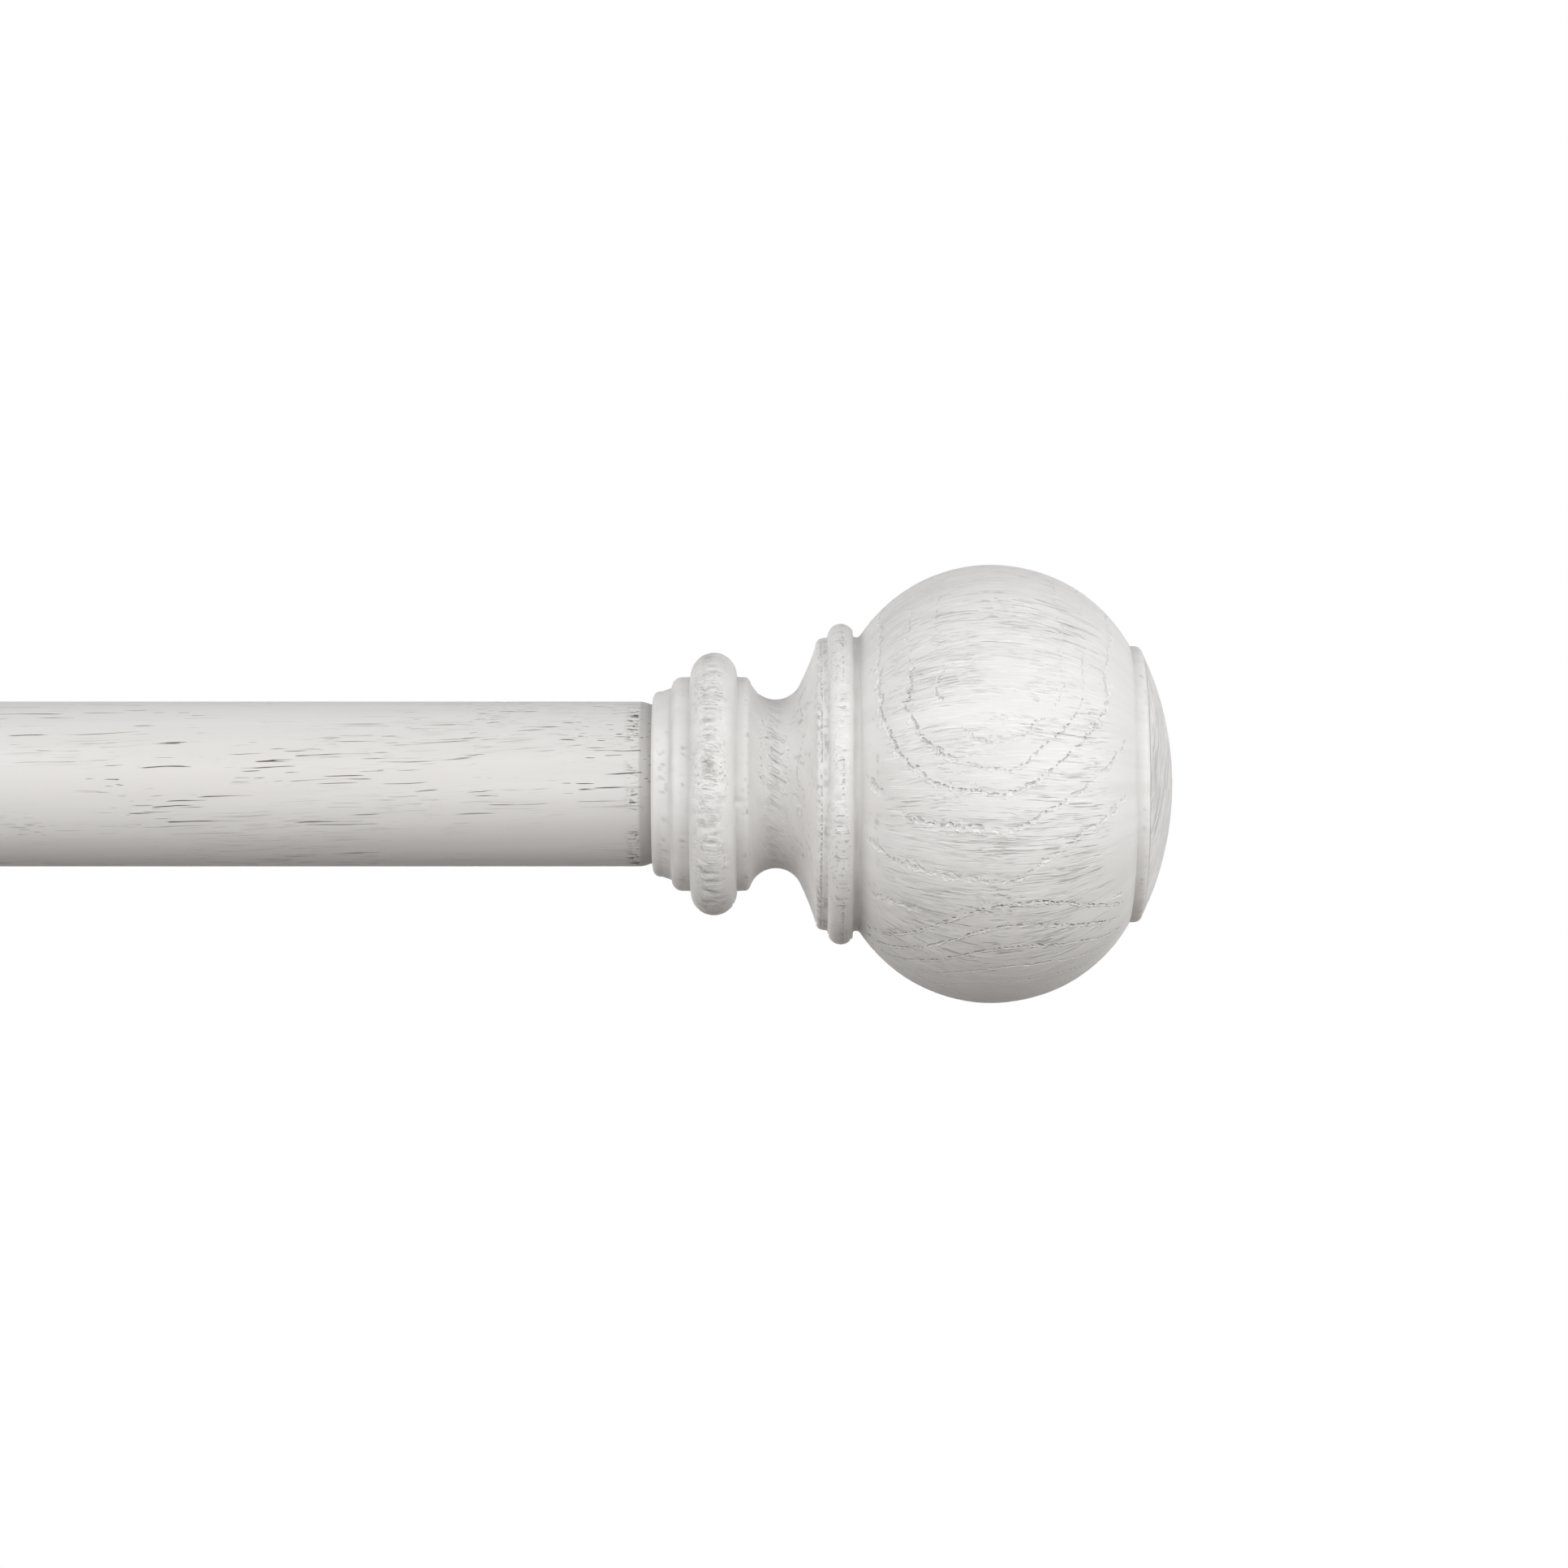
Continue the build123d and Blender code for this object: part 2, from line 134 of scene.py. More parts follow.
def new_group(name, inputs, outputs):
    """An empty shader group with its sockets, its entry node and its exit node."""
    group = bpy.data.node_groups.new(name, "ShaderNodeTree")
    for socket, kind in inputs.items():
        group.interface.new_socket(socket, in_out="INPUT", socket_type=f"NodeSocket{kind}")
    for socket, kind in outputs.items():
        group.interface.new_socket(socket, in_out="OUTPUT", socket_type=f"NodeSocket{kind}")
    return group, group.nodes.new("NodeGroupInput").outputs, group.nodes.new("NodeGroupOutput").inputs


def use_group(tree, group, inputs):
    """Place a group in a material with its own values, and give its outputs."""
    return add_node(tree, "ShaderNodeGroup", inputs, node_tree=group).outputs


def new_material(name):
    """A material with only its Principled BSDF, and the tree to build it in."""
    material = bpy.data.materials.new(name)
    material.use_nodes = True
    return material, material.node_tree, material.node_tree.nodes["Principled BSDF"]


def place_in_mm(tree, turn=(0, 0, 0), shift=(0, 0, 0)):
    """Object coordinates in millimetres, turned so that x runs along the brushed direction."""
    coordinates = add_node(tree, "ShaderNodeTexCoord").outputs["Object"]
    inputs = {"Vector": coordinates, "Location": shift, "Rotation": turn, "Scale": (1 / MM,) * 3}
    return add_node(tree, "ShaderNodeMapping", inputs).outputs["Vector"]


print("helpers ready")

# %% [markdown]
# ## Dry-brush streaks
# The white paint is dragged over a dark ground with a dry brush, so thin broken lines of the ground show
# through, all in the direction of the stroke. Noise stretched far along the stroke and squeezed across it
# makes such lines when only its highest peaks are kept. A second, slower noise bends the lines a little,
# a third gathers them in long patches, and a fourth breaks each line into darker and paler lengths. The
# group puts out one mask, and each finish says how long, wide, dense and bent its own streaks are.

# %% Shader group for dry-brush streaks
WANDERS_PER_MM = 0.045
MIDDLE_GREY = (0.5, 0.5, 0.5)
PATCH_STRETCH = 5.0
PATCH_RISE = (0.40, 0.62)
BREAK_SHARE = 0.28
BREAK_WIDTHS = 2.0
BREAK_RISE = (0.30, 0.58)


def stretch(tree, place, along, across):
    """A place divided by one length along x and by another across it."""
    parts = add_node(tree, "ShaderNodeSeparateXYZ", {0: place}).outputs
    divided = {"X": calculate(tree, "DIVIDE", parts["X"], along)}
    for axis in ("Y", "Z"):
        divided[axis] = calculate(tree, "DIVIDE", parts[axis], across)
    return add_node(tree, "ShaderNodeCombineXYZ", divided).outputs[0]


streaks, given, result = new_group(
    "dry_brush_streaks",
    {"Place": "Vector", "Length": "Float", "Width": "Float", "Level": "Float", "Edge": "Float",
     "Wander": "Float", "Patch": "Float"},
    {"Mask": "Float"},
)
wander = add_node(streaks, "ShaderNodeTexNoise",
                  {"Vector": given["Place"], "Scale": WANDERS_PER_MM, "Detail": 1.0})
bend = add_node(streaks, "ShaderNodeVectorMath", {0: wander.outputs["Color"], 1: MIDDLE_GREY},
                operation="SUBTRACT")
bent = add_node(streaks, "ShaderNodeVectorMath", {0: bend.outputs[0], "Scale": given["Wander"]},
                operation="SCALE")
moved = add_node(streaks, "ShaderNodeVectorMath", {0: given["Place"], 1: bent.outputs[0]},
                 operation="ADD").outputs[0]
peaks = noise_value(streaks, stretch(streaks, moved, given["Length"], given["Width"]), 1.0, 1.5)
lines = ramp_up(streaks, peaks, given["Level"], calculate(streaks, "ADD", given["Level"], given["Edge"]))
patch_place = stretch(streaks, given["Place"], PATCH_STRETCH, 1.0)
patches = ramp_up(streaks, noise_value(streaks, patch_place, given["Patch"], 1.0), *PATCH_RISE)
short = calculate(streaks, "MULTIPLY", given["Length"], BREAK_SHARE)
wide = calculate(streaks, "MULTIPLY", given["Width"], BREAK_WIDTHS)
lengths = noise_value(streaks, stretch(streaks, moved, short, wide), 1.0, 1.0)
broken = calculate(streaks, "MULTIPLY", lines, ramp_up(streaks, lengths, *BREAK_RISE))
streaks.links.new(calculate(streaks, "MULTIPLY", broken, patches), result["Mask"])
print("group", streaks.name, "with", len(streaks.nodes), "nodes")

# %% [markdown]
# ## Pore chains
# The finial is cast from a turned piece of open-pored wood, so its growth rings show as chains of small
# pits. The ring number is stored on the mesh as an attribute. Where its fraction is near one half there is
# a ring line. Fine noise breaks the line into pits, slow noise leaves gaps in it, unless it is to stay
# whole, and a wave over the ring numbers makes some rings stronger than others. On the outer side of each
# pit stands a low lip, which also gets a painted highlight. Only in some places have the pits kept a stain.

# %% Shader group for pore chains
PORES_PER_MM = 1.9
PORE_RISE = (0.44, 0.63)
GAPS_PER_MM = 0.12
GAP_RISE = (0.36, 0.52)
STAINS_PER_MM = 0.08
STAIN_RISE = (0.46, 0.62)
RING_LINE = 0.5
RING_WAVE = 1.2
RING_SWING = 0.2
LIP_REACH = 1.8

pores, given, result = new_group(
    "pore_chains",
    {"Place": "Vector", "Ring": "Float", "Shown": "Float", "Reach": "Float", "Whole": "Float"},
    {"Pits": "Float", "Stain": "Float", "Lips_and_highlight": "Float"},
)
off_line = calculate(pores, "SUBTRACT", calculate(pores, "FRACT", given["Ring"]), RING_LINE)
distance = calculate(pores, "ABSOLUTE", off_line)
line = calculate(pores, "SUBTRACT", 1.0, ramp_up(pores, distance, 0.0, given["Reach"]))
far_side = calculate(pores, "MULTIPLY", given["Reach"], LIP_REACH)
# The lip lies only on the outer side of the pit. It is raised in the bump and gets a painted highlight in the
# colour.
lip_and_highlight = calculate(pores, "MULTIPLY", ramp_up(pores, off_line, 0.0, given["Reach"]),
                calculate(pores, "SUBTRACT", 1.0, ramp_up(pores, off_line, given["Reach"], far_side)))
ring_turn = calculate(pores, "MULTIPLY", calculate(pores, "FLOOR", given["Ring"]), RING_WAVE)
wave = calculate(pores, "MULTIPLY", calculate(pores, "COSINE", ring_turn), RING_SWING)
strength = calculate(pores, "MULTIPLY", given["Shown"], calculate(pores, "ADD", wave, 1 - RING_SWING))
bits = ramp_up(pores, noise_value(pores, given["Place"], PORES_PER_MM, 0.5), *PORE_RISE)
gaps = ramp_up(pores, noise_value(pores, given["Place"], GAPS_PER_MM, 1.0), *GAP_RISE)
broken = calculate(pores, "MULTIPLY", bits, calculate(pores, "MAXIMUM", gaps, given["Whole"]))
chain = calculate(pores, "MULTIPLY", strength, broken)
pits = calculate(pores, "MULTIPLY", line, chain)
patches = ramp_up(pores, noise_value(pores, given["Place"], STAINS_PER_MM, 2.0), *STAIN_RISE)
pores.links.new(pits, result["Pits"])
pores.links.new(calculate(pores, "MULTIPLY", pits, patches), result["Stain"])
pores.links.new(calculate(pores, "MULTIPLY", lip_and_highlight, chain), result["Lips_and_highlight"])
print("group", pores.name, "with", len(pores.nodes), "nodes")

# %% [markdown]
# ## Uneven white
# White paint that has been brushed by hand is never one colour. Slow noise, drawn out along the stroke,
# moves between two whites that lie close together, so that large smooth faces stay alive without looking
# dirty.

# %% Shader group for uneven white
CLOUDS_PER_MM = 0.16
CLOUD_RISE = (0.35, 0.68)

uneven, given, result = new_group(
    "uneven_white",
    {"Place": "Vector", "White": "Color", "Shade": "Color", "Stretch": "Float"},
    {"Color": "Color"},
)
clouds = noise_value(uneven, stretch(uneven, given["Place"], given["Stretch"], 1.0), CLOUDS_PER_MM, 3.0)
shaded = ramp_up(uneven, clouds, *CLOUD_RISE)
uneven.links.new(mix_colour(uneven, shaded, given["White"], given["Shade"]), result["Color"])
print("group", uneven.name, "with", len(uneven.nodes), "nodes")

# %% [markdown]
# ## Painted metal
# The tubes and brackets are steel with a satin paint. The base is the uneven white, crossed by long dark
# streaks and by many faint ones. A tube also has a band of small scuffs just behind its coned mouth, and
# the cone itself is painted greyer, as painted shade where it turns away from the light beside the finial.
# The streaks are slightly sunk, so they catch the light, and a little rougher than the paint.

# %% Painted metal finish
PAINT_WHITE = (0.735, 0.724, 0.711, 1)
PAINT_SHADE = (0.690, 0.674, 0.660, 1)
# Painted shade: the coned mouth of a tube is greyed where it turns away from the light beside the finial.
CONE_SHADE_GREY = (0.40, 0.385, 0.37, 1)
GROUND_COLOUR = (0.066, 0.051, 0.043, 1)
FAINT_COLOUR = (0.36, 0.34, 0.325, 1)
PAINT_ROUGHNESS = 0.42
STREAK_ROUGHNESS = 0.65
PAINT_SPECULAR = 0.35
PAINT_STRETCH = 25.0
STREAK_SINK = 0.06
CONE_SHADE_SHARE = 0.65
FAINT_SHARE = 0.6
STROKE_LEAN = math.radians(2.0)
DARK_STREAKS = {"Length": 28.0, "Width": 0.30, "Level": 0.650, "Edge": 0.03, "Wander": 2.0, "Patch": 0.075}
FAINT_STREAKS = {"Length": 18.0, "Width": 0.20, "Level": 0.590, "Edge": 0.05, "Wander": 2.0, "Patch": 0.10}
MOUTH_SCUFFS = {"Length": 2.4, "Width": 0.30, "Level": 0.50, "Edge": 0.03, "Wander": 1.0, "Patch": 0.13}
CONE_EDGE = (1.5, 2.1)
SCUFF_START = (1.6, 2.2)
SCUFF_END = (2.7, 4.4)


def mouth_shade_and_scuffs(tree, mouth_x):
    """Masks of the painted shade on a tube's coned mouth and of the scuffs behind it."""
    place = place_in_mm(tree)
    along = add_node(tree, "ShaderNodeSeparateXYZ", {0: place}).outputs["X"]
    from_mouth = calculate(tree, "ABSOLUTE", calculate(tree, "SUBTRACT", along, mouth_x / MM))
    behind = calculate(tree, "MULTIPLY", ramp_up(tree, from_mouth, *SCUFF_START),
                       calculate(tree, "SUBTRACT", 1.0, ramp_up(tree, from_mouth, *SCUFF_END)))
    scuffs = use_group(tree, streaks, {"Place": place, **MOUTH_SCUFFS})["Mask"]
    # Painted shade on the cone, fading out where the cone meets the tube.
    cone_shade = calculate(tree, "SUBTRACT", 1.0, ramp_up(tree, from_mouth, *CONE_EDGE))
    return cone_shade, calculate(tree, "MULTIPLY", scuffs, behind)


def painted_metal(name, turn=(0, STROKE_LEAN, 0), shift=(0, 0, 0), mouth_x=None):
    """Weathered white paint brushed along x after the turn, with painted shade and scuffs at a tube's mouth if it
    has one.
    """
    material, tree, shader = new_material(name)
    place = place_in_mm(tree, turn, shift)
    colour = use_group(tree, uneven, {"Place": place, "White": PAINT_WHITE, "Shade": PAINT_SHADE,
                                      "Stretch": PAINT_STRETCH})["Color"]
    dark = use_group(tree, streaks, {"Place": place, **DARK_STREAKS})["Mask"]
    faint = use_group(tree, streaks, {"Place": place, **FAINT_STREAKS})["Mask"]
    if mouth_x is not None:
        cone_shade, scuffs = mouth_shade_and_scuffs(tree, mouth_x)
        # Painted shade greys the cone.
        colour = mix_colour(tree, calculate(tree, "MULTIPLY", cone_shade, CONE_SHADE_SHARE), colour, CONE_SHADE_GREY)
        dark = calculate(tree, "MAXIMUM", dark, scuffs)
    colour = mix_colour(tree, calculate(tree, "MULTIPLY", faint, FAINT_SHARE), colour, FAINT_COLOUR)
    tree.links.new(mix_colour(tree, dark, colour, GROUND_COLOUR), shader.inputs["Base Color"])
    rough = add_node(tree, "ShaderNodeMapRange", {"Value": dark, "To Min": PAINT_ROUGHNESS,
                                                  "To Max": STREAK_ROUGHNESS})
    tree.links.new(rough.outputs["Result"], shader.inputs["Roughness"])
    shader.inputs["Specular IOR Level"].default_value = PAINT_SPECULAR
    sunk = calculate(tree, "MULTIPLY", calculate(tree, "MAXIMUM", dark, faint), -1.0)
    bump = add_node(tree, "ShaderNodeBump", {"Height": sunk, "Strength": 0.5, "Distance": STREAK_SINK * MM})
    tree.links.new(bump.outputs["Normal"], shader.inputs["Normal"])
    return material


INNER_SHIFT = (0, 40, 15)
ALONG_ARM = (0, 0, math.radians(90))
UP_PLATE = (0, math.radians(90), 0)
outer_paint = painted_metal("outer_tube_paint", mouth_x=finial_base["right"].x)
inner_paint = painted_metal("inner_tube_paint", shift=INNER_SHIFT, mouth_x=finial_base["left"].x)
arm_paint = painted_metal("bracket_arm_paint", turn=ALONG_ARM)
plate_paint = painted_metal("wall_plate_paint", turn=UP_PLATE)
print("painted:", outer_paint.name, inner_paint.name, arm_paint.name, plate_paint.name)

# %% [markdown]
# ## Small fittings
# The screws are zinc-plated steel, the inserts plain brass, the sleeve and the glide nylon, and the plugs
# a dark moulded plastic. Each is a simple finish with a little unevenness in colour and roughness, at the
# scale that a hand lens would show.

# %% Finishes of the small fittings
FITTING_RISE = (0.35, 0.65)
FITTING_GRAIN = 0.02


def plain_finish(name, colour, worn, roughness, metallic, grain_per_mm):
    """A finish that moves between two close colours and roughnesses with fine noise."""
    material, tree, shader = new_material(name)
    grain = ramp_up(tree, noise_value(tree, place_in_mm(tree), grain_per_mm, 3.0), *FITTING_RISE)
    tree.links.new(mix_colour(tree, grain, (*colour, 1), (*worn, 1)), shader.inputs["Base Color"])
    low, high = roughness
    rough = add_node(tree, "ShaderNodeMapRange", {"Value": grain, "To Min": low, "To Max": high})
    tree.links.new(rough.outputs["Result"], shader.inputs["Roughness"])
    shader.inputs["Metallic"].default_value = metallic
    relief = {"Height": grain, "Strength": 0.25, "Distance": FITTING_GRAIN * MM}
    bump = add_node(tree, "ShaderNodeBump", relief)
    tree.links.new(bump.outputs["Normal"], shader.inputs["Normal"])
    return material


zinc = plain_finish("zinc_plated_steel", (0.62, 0.62, 0.60), (0.52, 0.51, 0.47), (0.28, 0.45), 1.0, 0.9)
brass = plain_finish("machined_brass", (0.74, 0.56, 0.27), (0.62, 0.45, 0.20), (0.25, 0.40), 1.0, 0.7)
nylon = plain_finish("moulded_nylon", (0.74, 0.73, 0.70), (0.68, 0.67, 0.63), (0.40, 0.52), 0.0, 0.5)
plug_plastic = plain_finish("plug_plastic", (0.070, 0.070, 0.072), (0.10, 0.10, 0.10), (0.42, 0.6),
                            0.0, 0.8)
print("fittings:", zinc.name, brass.name, nylon.name, plug_plastic.name)

# %% [markdown]
# ## Finish on the CAD pieces
# The brackets, plugs, sleeve and glide have their right shape in the model already, with smooth shading on
# the turned faces, so only their material slot is filled. The cradles and knobs are brushed upright like
# the wall plates.

# %% Dress the CAD pieces
FINISH_OF_ENDING = {
    "wall_plate": plate_paint,
    "arm_socket": arm_paint,
    "_arm": arm_paint,
    "cradle": plate_paint,
    "knob": plate_paint,
    "socket_screw": zinc,
    "finial_insert": brass,
    "mouth_sleeve": nylon,
    "glide_ring": nylon,
    "end_plug": plug_plastic,
}
for node, piece in frame["nodes"].items():
    for ending, finish in FINISH_OF_ENDING.items():
        if node.endswith(ending):
            piece.data.materials.clear()
            piece.data.materials.append(finish)
print("dressed", sum(node.endswith(tuple(FINISH_OF_ENDING)) for node in frame["nodes"]), "CAD pieces")

# %% [markdown]
# ## Drawing half profiles
# A turned piece starts as half of its outline, drawn in the plane of its axis. A line is drawn by extruding
# the last point. An arc is drawn by spinning the last point about the arc's centre, which is found from
# three points that the arc passes through. The whole outline is then spun through a sixteenth of a turn
# about the axis, and doubling that sector closes the skin.

# %% Helpers for turned pieces
WELD_MM = 0.001
SECTOR_DOUBLINGS = 4


def draw_line(shape, tip, end, cuts=1):
    """Extend an outline from its tip in a straight line of so many edges."""
    start, end = tip.co.copy(), Vector((end[0], 0, end[1]))
    for step in range(1, cuts + 1):
        tip = bmesh.ops.extrude_vert_indiv(shape, verts=[tip])["verts"][0]
        tip.co = start.lerp(end, step / cuts)
    return tip


def circle_centre(first, second, third):
    """Centre of the circle through three points of the plane."""
    a, b = second - first, third - first
    scale = 2 * (a.x * b.y - a.y * b.x)
    x = (b.y * a.length_squared - a.y * b.length_squared) / scale
    y = (a.x * b.length_squared - b.x * a.length_squared) / scale
    return first + Vector((x, y))


def draw_arc(shape, tip, through, end, steps):
    """Extend an outline from its tip along the arc that passes through one point to another."""
    start = Vector((tip.co.x, tip.co.z))
    through, end = Vector(through), Vector(end)
    centre = circle_centre(start, through, end)
    clockwise = (through - start).cross(end - through) < 0
    turn = (start - centre).angle_signed(end - centre)
    if (turn > 0) != clockwise:
        turn += math.tau if clockwise else -math.tau
    made = bmesh.ops.spin(shape, geom=[tip], cent=(centre.x, 0, centre.y), axis=(0, 1, 0), angle=turn,
                          steps=steps, use_duplicate=False)
    return next(item for item in made["geom_last"] if isinstance(item, bmesh.types.BMVert))


def double_up(shape, times, move):
    """Copy a whole shape again and again, each time moved twice as far, and weld the copies together."""
    for _ in range(times):
        copied = bmesh.ops.duplicate(shape, geom=shape.verts[:] + shape.edges[:] + shape.faces[:])
        corners = [item for item in copied["geom"] if isinstance(item, bmesh.types.BMVert)]
        bmesh.ops.transform(shape, matrix=move, verts=corners)
        move = move @ move
    bmesh.ops.remove_doubles(shape, verts=shape.verts, dist=WELD_MM)
    bmesh.ops.recalc_face_normals(shape, faces=shape.faces)


def spin_round(shape, steps):
    """Spin an outline a sixteenth of the way about the x axis, and double that sector to a closed skin."""
    sector = math.tau / 2**SECTOR_DOUBLINGS
    bmesh.ops.spin(shape, geom=shape.verts[:] + shape.edges[:], cent=(0, 0, 0), axis=(1, 0, 0),
                   angle=sector, steps=steps >> SECTOR_DOUBLINGS, use_duplicate=False)
    double_up(shape, SECTOR_DOUBLINGS, Matrix.Rotation(sector, 4, "X"))


def to_mesh(shape, name):
    """Turn a shape that was drawn in millimetres into a mesh in metres."""
    mesh = bpy.data.meshes.new(name)
    bmesh.ops.scale(shape, vec=(MM, MM, MM), verts=shape.verts)
    shape.to_mesh(mesh)
    shape.free()
    return mesh


def finish_piece(mesh, place, name, node, material, sharp_degrees):
    """Move a mesh to its place, shade it, and let it stand for a CAD node on that node's body."""
    mesh.transform(place)
    mesh.shade_smooth()
    mesh.set_sharp_from_angle(angle=math.radians(sharp_degrees))
    mesh.materials.append(material)
    piece = bpy.data.objects.new(name, mesh)
    bpy.context.scene.collection.objects.link(piece)
    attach(piece, body_of[node])
    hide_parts(node)
    return piece


print("ready to turn")

# %% [markdown]
# ## The two tubes
# Each tube is drawn thin steel with a mouth that is coned in to meet its finial. The CAD tube has the right
# size, but its cone meets the tube at a hard edge. Here the outline has a small arc at that edge, so the
# paint turns over it softly, as it does in the photograph.

# %% Tubes with a coned mouth
TUBE_WALL = 0.7
CONE_LENGTH = 1.6
CONE_STEP = 0.5
CONE_SOFTNESS = 0.45
TUBE_SIDES = 192
TUBE_CUTS = 24
TUBE_SHARP = 40
FACING = {"right": Matrix.Identity(4), "left": Matrix.Rotation(math.pi, 4, "Z")}


def painted_tube(node, side, material):
    """A tube drawn from its far end to its coned mouth, which lies at the finial's base."""
    low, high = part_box(node)
    radius = (high.z - low.z) / 2 / MM
    length = (high.x - low.x) / MM
    slope = CONE_STEP / CONE_LENGTH
    soft_end = (-CONE_LENGTH + CONE_SOFTNESS, radius - CONE_SOFTNESS * slope)
    shape = bmesh.new()
    tip = start = shape.verts.new((-length, 0, radius - TUBE_WALL))
    tip = draw_line(shape, tip, (-length, radius))
    tip = draw_line(shape, tip, (-CONE_LENGTH - CONE_SOFTNESS, radius), TUBE_CUTS)
    tip = draw_arc(shape, tip, (-CONE_LENGTH, radius - CONE_SOFTNESS * slope / 4), soft_end, 4)
    tip = draw_line(shape, tip, (0, radius - CONE_STEP))
    tip = draw_line(shape, tip, (0, radius - CONE_STEP - TUBE_WALL))
    tip = draw_line(shape, tip, (-CONE_LENGTH, radius - TUBE_WALL))
    shape.edges.new((tip, start))
    spin_round(shape, TUBE_SIDES)
    print(node, "radius", round(radius, 2), "length", round(length, 1), "mm")
    place = Matrix.Translation(finial_base[side]) @ FACING[side]
    return finish_piece(to_mesh(shape, node), place, f"{node}_painted", node, material, TUBE_SHARP)


painted_tube("outer_tube", "right", outer_paint)
painted_tube("inner_tube", "left", inner_paint)

# %% [markdown]
# ## Helpers for the finial's figure
# The figure of the finial is worked out point by point, in millimetres from the middle of its base. Three
# small helpers serve all of it: a smooth step, a soft bump about a middle, and the angle round the rod.


# %% Smooth steps, bumps and angles
def ease(value, low, high):
    """0 below low, 1 above high, and smooth between them."""
    share = min(max((value - low) / (high - low), 0.0), 1.0)
    return share * share * (3 - 2 * share)


def near(value, middle, reach):
    """1 at the middle and fading to 0 a few reaches away."""
    return math.exp(-(((value - middle) / reach) ** 2))


def around(place):
    """Angle round the rod: 0 towards the room, a quarter turn at the bottom, from -90 to 270 degrees."""
    angle = math.atan2(-place.z, -place.y)
    return angle if angle >= -math.pi / 2 else angle + math.tau


print("one reach away a bump has", round(near(1, 0, 1), 2))

# %% [markdown]
# ## Growth rings
# The ball looks as if it were turned from a flat-sawn plank, so its growth rings hang in it as nested
# arches that stand on their heads, with one steep leg on the left and a slower one on the right. The outer
# arches lie further apart, the left legs are the most pitted, and all legs fade towards the top. Another
# plank is glued on below, and its rings cross on a slant. The neck has a few rings of its own, which fade
# out in the cove. A formula gives the ring's number and how far it shows, so a few named sizes move all the
# lines.

# %% Growth rings
BALL_START = 31.5
BALL_END = 71.6
BALL_RADIUS = 33.85
RINGS_START = (BALL_START + 0.5, BALL_START + 1.5)
RINGS_END = (BALL_END - 1, BALL_END)
WAVERS = ((1.3, 11.0, 0), (0.5, 3.0, 9), (0.6, 1.2, 0))
ARCH_FOOT = (52.6, -1.75)
ARCH_DROP = 3.9
ARCH_LEG = {"left": 17.8, "right": 16.5}
ARCH_POWER = {"left": 2.2, "right": 1.4}
ARCH_SPAN = 4.2
INNER_FADE = (-2.6, -2.3)
OUTER_SHARE = 0.65
PITTED_MIDDLE = (42.0, -15.0)
PITTED_REACH = (6.0, 22.0)
PITTED_MORE = 0.6
LEG_FADE = (12.0, 20.0)
LEG_SHARE = 0.35
SLANT_TOP = math.radians(31.3)
SLANT_MIDDLE = 55.5
SLANT_CURVE = math.radians(0.060)
SLANT_END = math.radians(150)
SLANT_SPACING = 4.5
SLANT_NUMBER = 42 + RING_LINE
SLANT_WAVER = 0.5
SLANT_FADE = (9.0, 15.0)
SLANT_FADE_SHARE = 0.6
JOINT_RISE = 0.9
JOINT_FADE = (0.2, 0.9)
COLLAR_CHAIN = 25.8
NECK_SPACING = 3.3
NECK_DRIFT = 2.0
NECK_DRIFT_SIZE = 4.0
NECK_CALM = (COLLAR_CHAIN - 2.5, COLLAR_CHAIN - 0.8)
COVE = (15.0, 25.0)


def arch_number(place):
    """Number of the hanging arch at a place of the ball, 0 on the middle one and less inside it."""
    across = place.x - ARCH_FOOT[0]
    side = "left" if across < 0 else "right"
    down = max(ARCH_SPAN + (ARCH_FOOT[1] - place.z) / ARCH_DROP, 0)
    out = ARCH_SPAN * abs(across) / ARCH_LEG[side]
    power = ARCH_POWER[side]
    return (down**power + out**power) ** (1 / power) - ARCH_SPAN


def growth_ring(place):
    """Number of the growth ring at a place in millimetres from the base, and how far rings show there."""
    waver = 0.0
    for height, size, shift in WAVERS:
        waver += height * noise.noise(place / size + Vector((shift, 0, 0)))
    if place.x < BALL_START:
        drift = NECK_DRIFT * noise.noise(place / NECK_DRIFT_SIZE) * (1 - ease(place.x, *NECK_CALM))
        return RING_LINE + (place.x + drift - COLLAR_CHAIN) / NECK_SPACING, ease(place.x, *COVE)
    shown = ease(place.x, *RINGS_START) * (1 - ease(place.x, *RINGS_END))
    angle = around(place)
    slant = SLANT_TOP + SLANT_CURVE * (place.x - SLANT_MIDDLE) ** 2
    below = BALL_RADIUS * (angle - slant) + SLANT_WAVER * waver
    beyond = BALL_RADIUS * (SLANT_END - angle)
    shown *= ease(abs(min(below + JOINT_RISE, beyond)), *JOINT_FADE)
    if below > -JOINT_RISE and beyond > 0:
        shown *= 1 - SLANT_FADE_SHARE * ease(below, *SLANT_FADE)
        return SLANT_NUMBER + below / SLANT_SPACING, shown
    arch = arch_number(place) + waver / ARCH_DROP
    pitted = near(place.x, PITTED_MIDDLE[0], PITTED_REACH[0])
    pitted *= near(math.degrees(angle), PITTED_MIDDLE[1], PITTED_REACH[1])
    shown *= ease(arch, *INNER_FADE) * (1 + PITTED_MORE * pitted)
    shown *= 1 - LEG_SHARE * ease(place.z, *LEG_FADE)
    arch *= OUTER_SHARE if arch > 0 else 1
    return arch + RING_LINE, shown


print("arches every", ARCH_DROP, "mm and slanting rings every", SLANT_SPACING, "mm")

# %% [markdown]
# ## Fibre direction
# Brush strokes and scratches follow the fibre, so every point also has a place along and across it. On the
# ball the fibre follows the outline from base to end, and on the end dome it runs straight across. On the
# neck it is cut short, which makes shorter strokes, and it leans over in the cove.

# %% Fibre direction
DOME_START = 75.2
DOME_LEAN = math.radians(62)
DOME_APART = 3 * BALL_RADIUS
COVE_LEAN = 0.056
NECK_SHORTENING = 1.4


